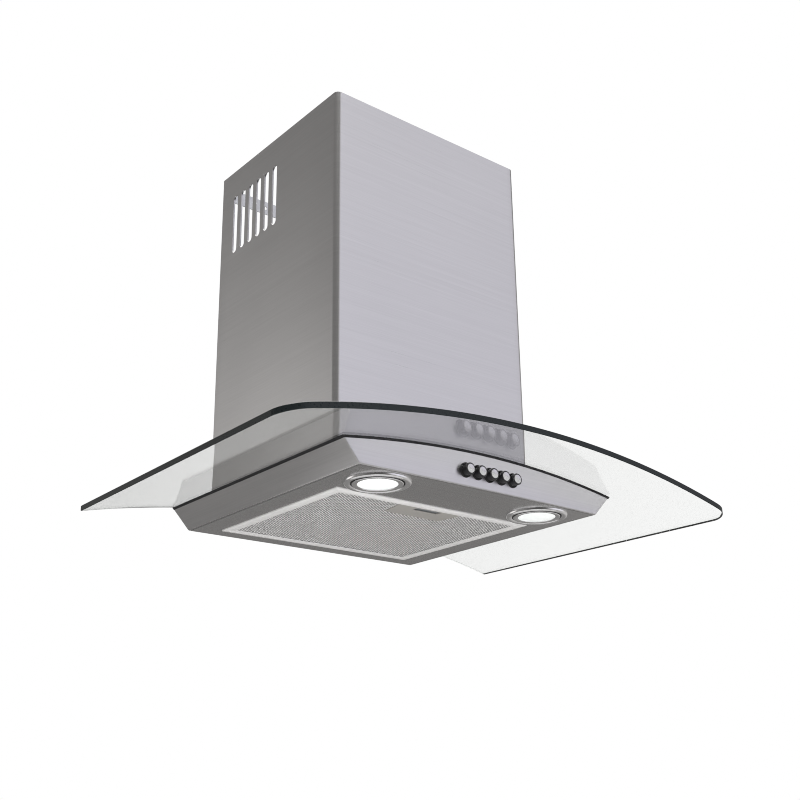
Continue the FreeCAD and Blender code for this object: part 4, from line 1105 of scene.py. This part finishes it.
def strand_tree():
    """Expanded mesh: zigzag strands side by side, each touching the next at its peaks."""
    inputs = {"Width": "Float", "Depth": "Float", "Diamond Width": "Float", "Diamond Depth": "Float",
              "Strand": "Float", "Gauge": "Float", "Centre": "Vector", "Latch Half": "Float",
              "Latch Front": "Float", "Latch Back": "Float", "Finish": "Material"}
    tree, kit, given = growing_tree("expanded_mesh", inputs)
    half_wide = given["Diamond Width"] * 0.5
    half_deep = given["Diamond Depth"] * 0.5
    start = kit.combine(given["Width"] * -0.5)
    end = kit.combine(given["Width"] * 0.5)
    line = kit.node("GeometryNodeCurvePrimitiveLine", {}, {"Start": start, "End": end})
    count = given["Width"] / half_wide
    points = kit.node("GeometryNodeResampleCurve", {}, {"Curve": line, "Count": count})
    parity = kit.node("GeometryNodeInputIndex") % 2.0 * 2.0 - 1.0
    swing = kit.combine(0.0, parity * half_deep * 0.5, 0.0)
    strand = kit.node("GeometryNodeSetPosition", {}, {"Geometry": points, "Offset": swing})
    first = kit.combine(0.0, given["Depth"] * -0.5, 0.0)
    step = kit.combine(0.0, half_deep, 0.0)
    rows = kit.node("GeometryNodeMeshLine", {},
                    {"Count": given["Depth"] / half_deep, "Start Location": first, "Offset": step})
    flip = kit.combine(1.0, parity, 1.0)
    copies = kit.node("GeometryNodeInstanceOnPoints", {}, {"Points": rows, "Instance": strand, "Scale": flip})
    wires = kit.node("GeometryNodeRealizeInstances", {}, [copies])
    section = kit.node("GeometryNodeCurvePrimitiveQuadrilateral", {},
                       {"Width": given["Strand"], "Height": given["Gauge"]})
    solid = kit.node("GeometryNodeCurveToMesh", {}, {"Curve": wires, "Profile Curve": section})
    moved = kit.node("GeometryNodeTransform", {}, {"Geometry": solid, "Translation": given["Centre"]})
    place = kit.node("GeometryNodeInputPosition")
    x, y = [kit.node("ShaderNodeSeparateXYZ", {}, [place], axis) for axis in ("X", "Y")]
    size = kit.node("ShaderNodeMath", {"operation": "ABSOLUTE"}, [x])
    inside = (size < given["Latch Half"]) * (y > given["Latch Front"]) * (y < given["Latch Back"])
    open_mesh = kit.node("GeometryNodeDeleteGeometry", {"domain": "POINT"},
                         {"Geometry": moved, "Selection": inside})
    close_tree(kit, given, open_mesh)
    return tree


class HOOD_OT_filter(bpy.types.Operator):
    """Make the grease filter: mitred rails, expanded mesh, latch and tabs"""
    bl_idname = "hood.filter"
    bl_label = "Filter"

    def execute(self, context):
        sizes = context.scene.hood_sizes
        low, high = box_of("filter_frame")
        frame_mesh = bmesh.new()
        sides = [(Vector((1, 0, 0)), Vector((0, -1, 0))), (Vector((0, 1, 0)), Vector((1, 0, 0))),
                 (Vector((1, 0, 0)), Vector((0, 1, 0))), (Vector((0, 1, 0)), Vector((-1, 0, 0)))]
        for i, (along, outward) in enumerate(sides):
            rail = rail_mesh("rail", sizes, low, high, along, outward)
            if i == 0:
                rail = carved(rail, latch_cutters(sizes))
            frame_mesh.from_mesh(rail)
        place_piece("filter_rails", to_mesh("filter_rails", frame_mesh, False), ["filter_frame"],
                    ["aluminium"], 30.0)
        latch_low, latch_high = box_of("latch_plate")
        side_lap, rear_lap, clearance = 0.0055, 0.001, 0.01
        sheet_low = box_of("filter_mesh_lower")[0]
        rails = 2 * (sizes.filter_rail - sizes.mesh_tuck)
        wide = high.x - low.x - rails
        deep = high.y - low.y - rails
        centre = (low + high) / 2
        centre.z = sheet_low.z + sizes.mesh_gauge / 2
        values = {
            "Width": wide, "Depth": deep, "Diamond Width": sizes.diamond_width,
            "Diamond Depth": sizes.diamond_depth, "Strand": sizes.filter_strand,
            "Gauge": sizes.mesh_gauge, "Centre": centre, "Latch Half": latch_high.x - side_lap,
            "Latch Front": latch_low.y - clearance, "Latch Back": latch_high.y - rear_lap,
            "Finish": finish("mesh_aluminium_painted_highlight"),
        }
        mesh = grown(strand_tree(), values)
        place_piece("filter_mesh", mesh, ["filter_mesh_lower"], ["mesh_aluminium_painted_highlight"], 60.0)
        dressed(["filter_mesh_upper"], "mesh_aluminium_painted_highlight")
        dressed(["filter_core"], "painted_shade_core")
        dressed(["filter_tabs"], "spring_steel")
        sprung("latch_springs", sizes.latch_travel)
        softened("latch_plate", "latch_paint", 0.0005)
        # The slide takes the darker motor paint as painted shade in the slot that it shows through.
        softened("latch_slide", "motor_paint_and_painted_shade", 0.0004)
        return {"FINISHED"}


# ---------------------------------------------------------------- blower and electrics
class HOOD_OT_blower(bpy.types.Operator):
    """Finish the motor box, the blower in it and the outlet collar with its flaps"""
    bl_idname = "hood.blower"
    bl_label = "Blower"

    def execute(self, context):
        for node in ("motor_box", "motor_box_lid", "motor_bracket", "collar_flange"):
            softened(node, "galvanised")
        for node in ("scroll_housing_left", "scroll_housing_right", "outlet_collar", "damper_flap_left",
                     "damper_flap_right"):
            softened(node, "blower_plastic")
        dressed(["impeller"], "blower_plastic")
        dressed(["impeller_shaft"], "zinc")
        softened("motor", "motor_paint_and_painted_shade")
        softened("capacitor", "motor_paint_and_painted_shade")
        dressed(["motor_mounts"], "black_rubber")
        softened("box_fasteners", "zinc", 0.0004)
        softened("canopy_fasteners", "zinc", 0.0004)
        return {"FINISHED"}


class HOOD_OT_electrics(bpy.types.Operator):
    """Finish the terminal box, the cord gland and the lamp driver"""
    bl_idname = "hood.electrics"
    bl_label = "Electrics"

    def execute(self, context):
        for node in ("terminal_box", "terminal_box_lid", "cord_gland"):
            softened(node, "black_plastic", 0.0005)
        softened("lamp_driver", "white_nylon", 0.0008)
        return {"FINISHED"}


# ---------------------------------------------------------------- stage
def view_axes(view):
    """Right, up and forward of the camera."""
    turn, rise, roll = view.turn, view.rise, view.roll
    forward = Vector((-math.sin(turn) * math.cos(rise), math.cos(turn) * math.cos(rise), math.sin(rise)))
    level = Vector((math.cos(turn), math.sin(turn), 0))
    upright = level.cross(forward)
    right = math.cos(roll) * level + math.sin(roll) * upright
    return right, right.cross(forward), forward


def make_camera(scene, view):
    data = bpy.data.cameras.new("camera")
    data.sensor_width = 36.0
    data.lens = view.focal
    data.shift_x = view.shift_x
    data.shift_y = view.shift_y
    data.clip_start = 0.01
    data.clip_end = 100.0
    camera = linked("camera", data)
    right, up, forward = view_axes(view)
    turned = Matrix((right, up, -forward)).transposed().to_4x4()
    camera.matrix_world = Matrix.Translation(Vector(view.camera)) @ turned
    scene.camera = camera


def to_camera(kit, view):
    """Whether the camera looks, straight or through the glass, and the brightness that it then sees."""
    seen = kit.node("ShaderNodeLightPath", out="Is Camera Ray")
    passed = kit.node("ShaderNodeLightPath", out="Is Transmission Ray")
    return seen.highest(passed), seen + view.through * passed


def make_world(scene, view):
    """Surroundings that are bright to the front right, left rear, right and below, and dim behind the camera.
    The camera sees plain white, also through the glass, where it is brightened to make up for the tint."""
    world = bpy.data.worlds.new("studio")
    scene.world = world
    kit = emptied(world)
    way = kit.node("ShaderNodeTexCoord", out="Generated")

    def towards(direction, start, end):
        """From 0 to 1 as the way turns towards a direction."""
        aim = Vector(direction).normalized()
        facing = kit.node("ShaderNodeVectorMath", {"operation": "DOT_PRODUCT"}, [way, aim], "Value")
        return kit.node("ShaderNodeMapRange", {"interpolation_type": "SMOOTHSTEP"},
                        {"Value": facing, "From Min": start, "From Max": end})

    front = towards((0.54, -0.82, 0.16), 0.64, 1.0)
    left_rear = towards((-0.60, 0.80, 0.02), 0.90, 1.0)
    right = towards((0.97, 0.02, -0.22), 0.70, 1.0)
    below = towards((0.0, 0.0, -1.0), 0.62, 0.97)
    viewer = towards((-0.62, -0.66, -0.42), 0.60, 1.0)
    level = 0.235 + 0.76 * front + 0.86 * left_rear + 0.32 * right + 0.75 * below - 0.14 * viewer
    light = kit.tint(front, (1.0, 0.98, 0.955, 1), (0.918, 0.908, 1.0, 1))
    white, bright = to_camera(kit, view)
    shown = kit.tint(white, light, (1, 1, 1, 1))
    strength = bright + (1.0 - white) * level
    sky = kit.node("ShaderNodeBackground", {}, {"Color": shown, "Strength": strength})
    kit.node("ShaderNodeOutputWorld", {}, {"Surface": sky})


def make_lamp(name, place, size, power, tone, mirrored=True):
    """A square light that faces the origin. Unless mirrored, it shows in no shiny surface."""
    data = bpy.data.lights.new(name, "AREA")
    data.size = size
    data.energy = power
    data.color = tone
    lamp = linked(name, data)
    lamp.visible_glossy = mirrored
    lamp.location = place
    lamp.rotation_euler = (-Vector(place)).to_track_quat("-Z", "Y").to_euler()


def make_floor(view, colours):
    """A plain floor that takes the shadow and looks pale to the camera."""
    material = bpy.data.materials.new("floor")
    kit = emptied(material)
    cloud = kit.noise((0.8, 0.8, 0.8), 2.0)
    tone = kit.tint(cloud, shade(colours.floor, 0.97), shade(colours.floor, 1.03))
    matt = kit.node("ShaderNodeBsdfPrincipled", {}, {"Base Color": tone, "Roughness": 0.8})
    white, bright = to_camera(kit, view)
    glow = kit.node("ShaderNodeEmission", {}, {"Color": (1, 1, 1, 1), "Strength": bright})
    spot = kit.node("ShaderNodeTexCoord", out="Object")
    away = kit.node("ShaderNodeVectorMath", {"operation": "LENGTH"}, [spot], "Value")
    fade = kit.node("ShaderNodeMapRange", {}, {"Value": away, "From Min": 0.4, "To Min": 0.80,
                                               "From Max": view.floor_half * 0.95, "To Max": 1.0})
    mixed = kit.node("ShaderNodeMixShader", {}, {0: white * fade, 1: matt, 2: glow})
    kit.node("ShaderNodeOutputMaterial", {}, {"Surface": mixed})
    bm = bmesh.new()
    bmesh.ops.create_grid(bm, x_segments=1, y_segments=1, size=view.floor_half)
    floor = linked("floor", to_mesh("floor", bm, False))
    floor.data.materials.append(material)
    floor.location = (0, 0, view.floor_level)


class HOOD_OT_stage(bpy.types.Operator):
    """Make the camera, the studio light and the floor"""
    bl_idname = "hood.stage"
    bl_label = "Stage"

    def execute(self, context):
        scene = context.scene
        view = scene.hood_view
        scene.view_settings.view_transform = "Standard"
        scene.cycles.filter_width = view.sharpness
        make_camera(scene, view)
        make_world(scene, view)
        make_floor(view, scene.hood_colours)
        make_lamp("key", (1.2, -1.9, 2.6), 2.4, view.key_power, (0.98, 0.98, 1.0))
        make_lamp("fill", (-0.55, -0.95, -1.05), 0.5, view.fill_power, (1.0, 1.0, 1.0), False)
        make_lamp("top", (0.0, -0.2, 3.0), 2.4, view.top_power, (1.0, 0.99, 0.97))
        return {"FINISHED"}


# ---------------------------------------------------------------- the add-on
OPERATORS = (HOOD_OT_canopy, HOOD_OT_body, HOOD_OT_chimney, HOOD_OT_lamps, HOOD_OT_buttons, HOOD_OT_filter,
             HOOD_OT_blower, HOOD_OT_electrics, HOOD_OT_stage)
GROUPS = {"hood_sizes": HoodSizes, "hood_colours": HoodColours, "hood_view": HoodView}


class HOOD_PT_panel(bpy.types.Panel):
    """Buttons and values for the hood"""
    bl_idname = "HOOD_PT_panel"
    bl_label = "Range hood"
    bl_space_type = "VIEW_3D"
    bl_region_type = "UI"
    bl_category = "Hood"

    def draw(self, context):
        for operator in OPERATORS:
            self.layout.operator(operator.bl_idname)
        for name, group in GROUPS.items():
            box = self.layout.box()
            for field in group.__annotations__:
                box.prop(getattr(context.scene, name), field)


def register():
    for item in (*GROUPS.values(), *OPERATORS, HOOD_PT_panel):
        bpy.utils.register_class(item)
    for name, group in GROUPS.items():
        setattr(bpy.types.Scene, name, PointerProperty(type=group))


def unregister():
    for name in GROUPS:
        delattr(bpy.types.Scene, name)
    for item in reversed((*GROUPS.values(), *OPERATORS, HOOD_PT_panel)):
        bpy.utils.unregister_class(item)


def main():
    register()
    bpy.ops.hood.stage()
    bpy.ops.hood.canopy()
    bpy.ops.hood.body()
    bpy.ops.hood.chimney()
    bpy.ops.hood.lamps()
    bpy.ops.hood.buttons()
    bpy.ops.hood.filter()
    bpy.ops.hood.blower()
    bpy.ops.hood.electrics()


if __name__ == "__main__":
    main()
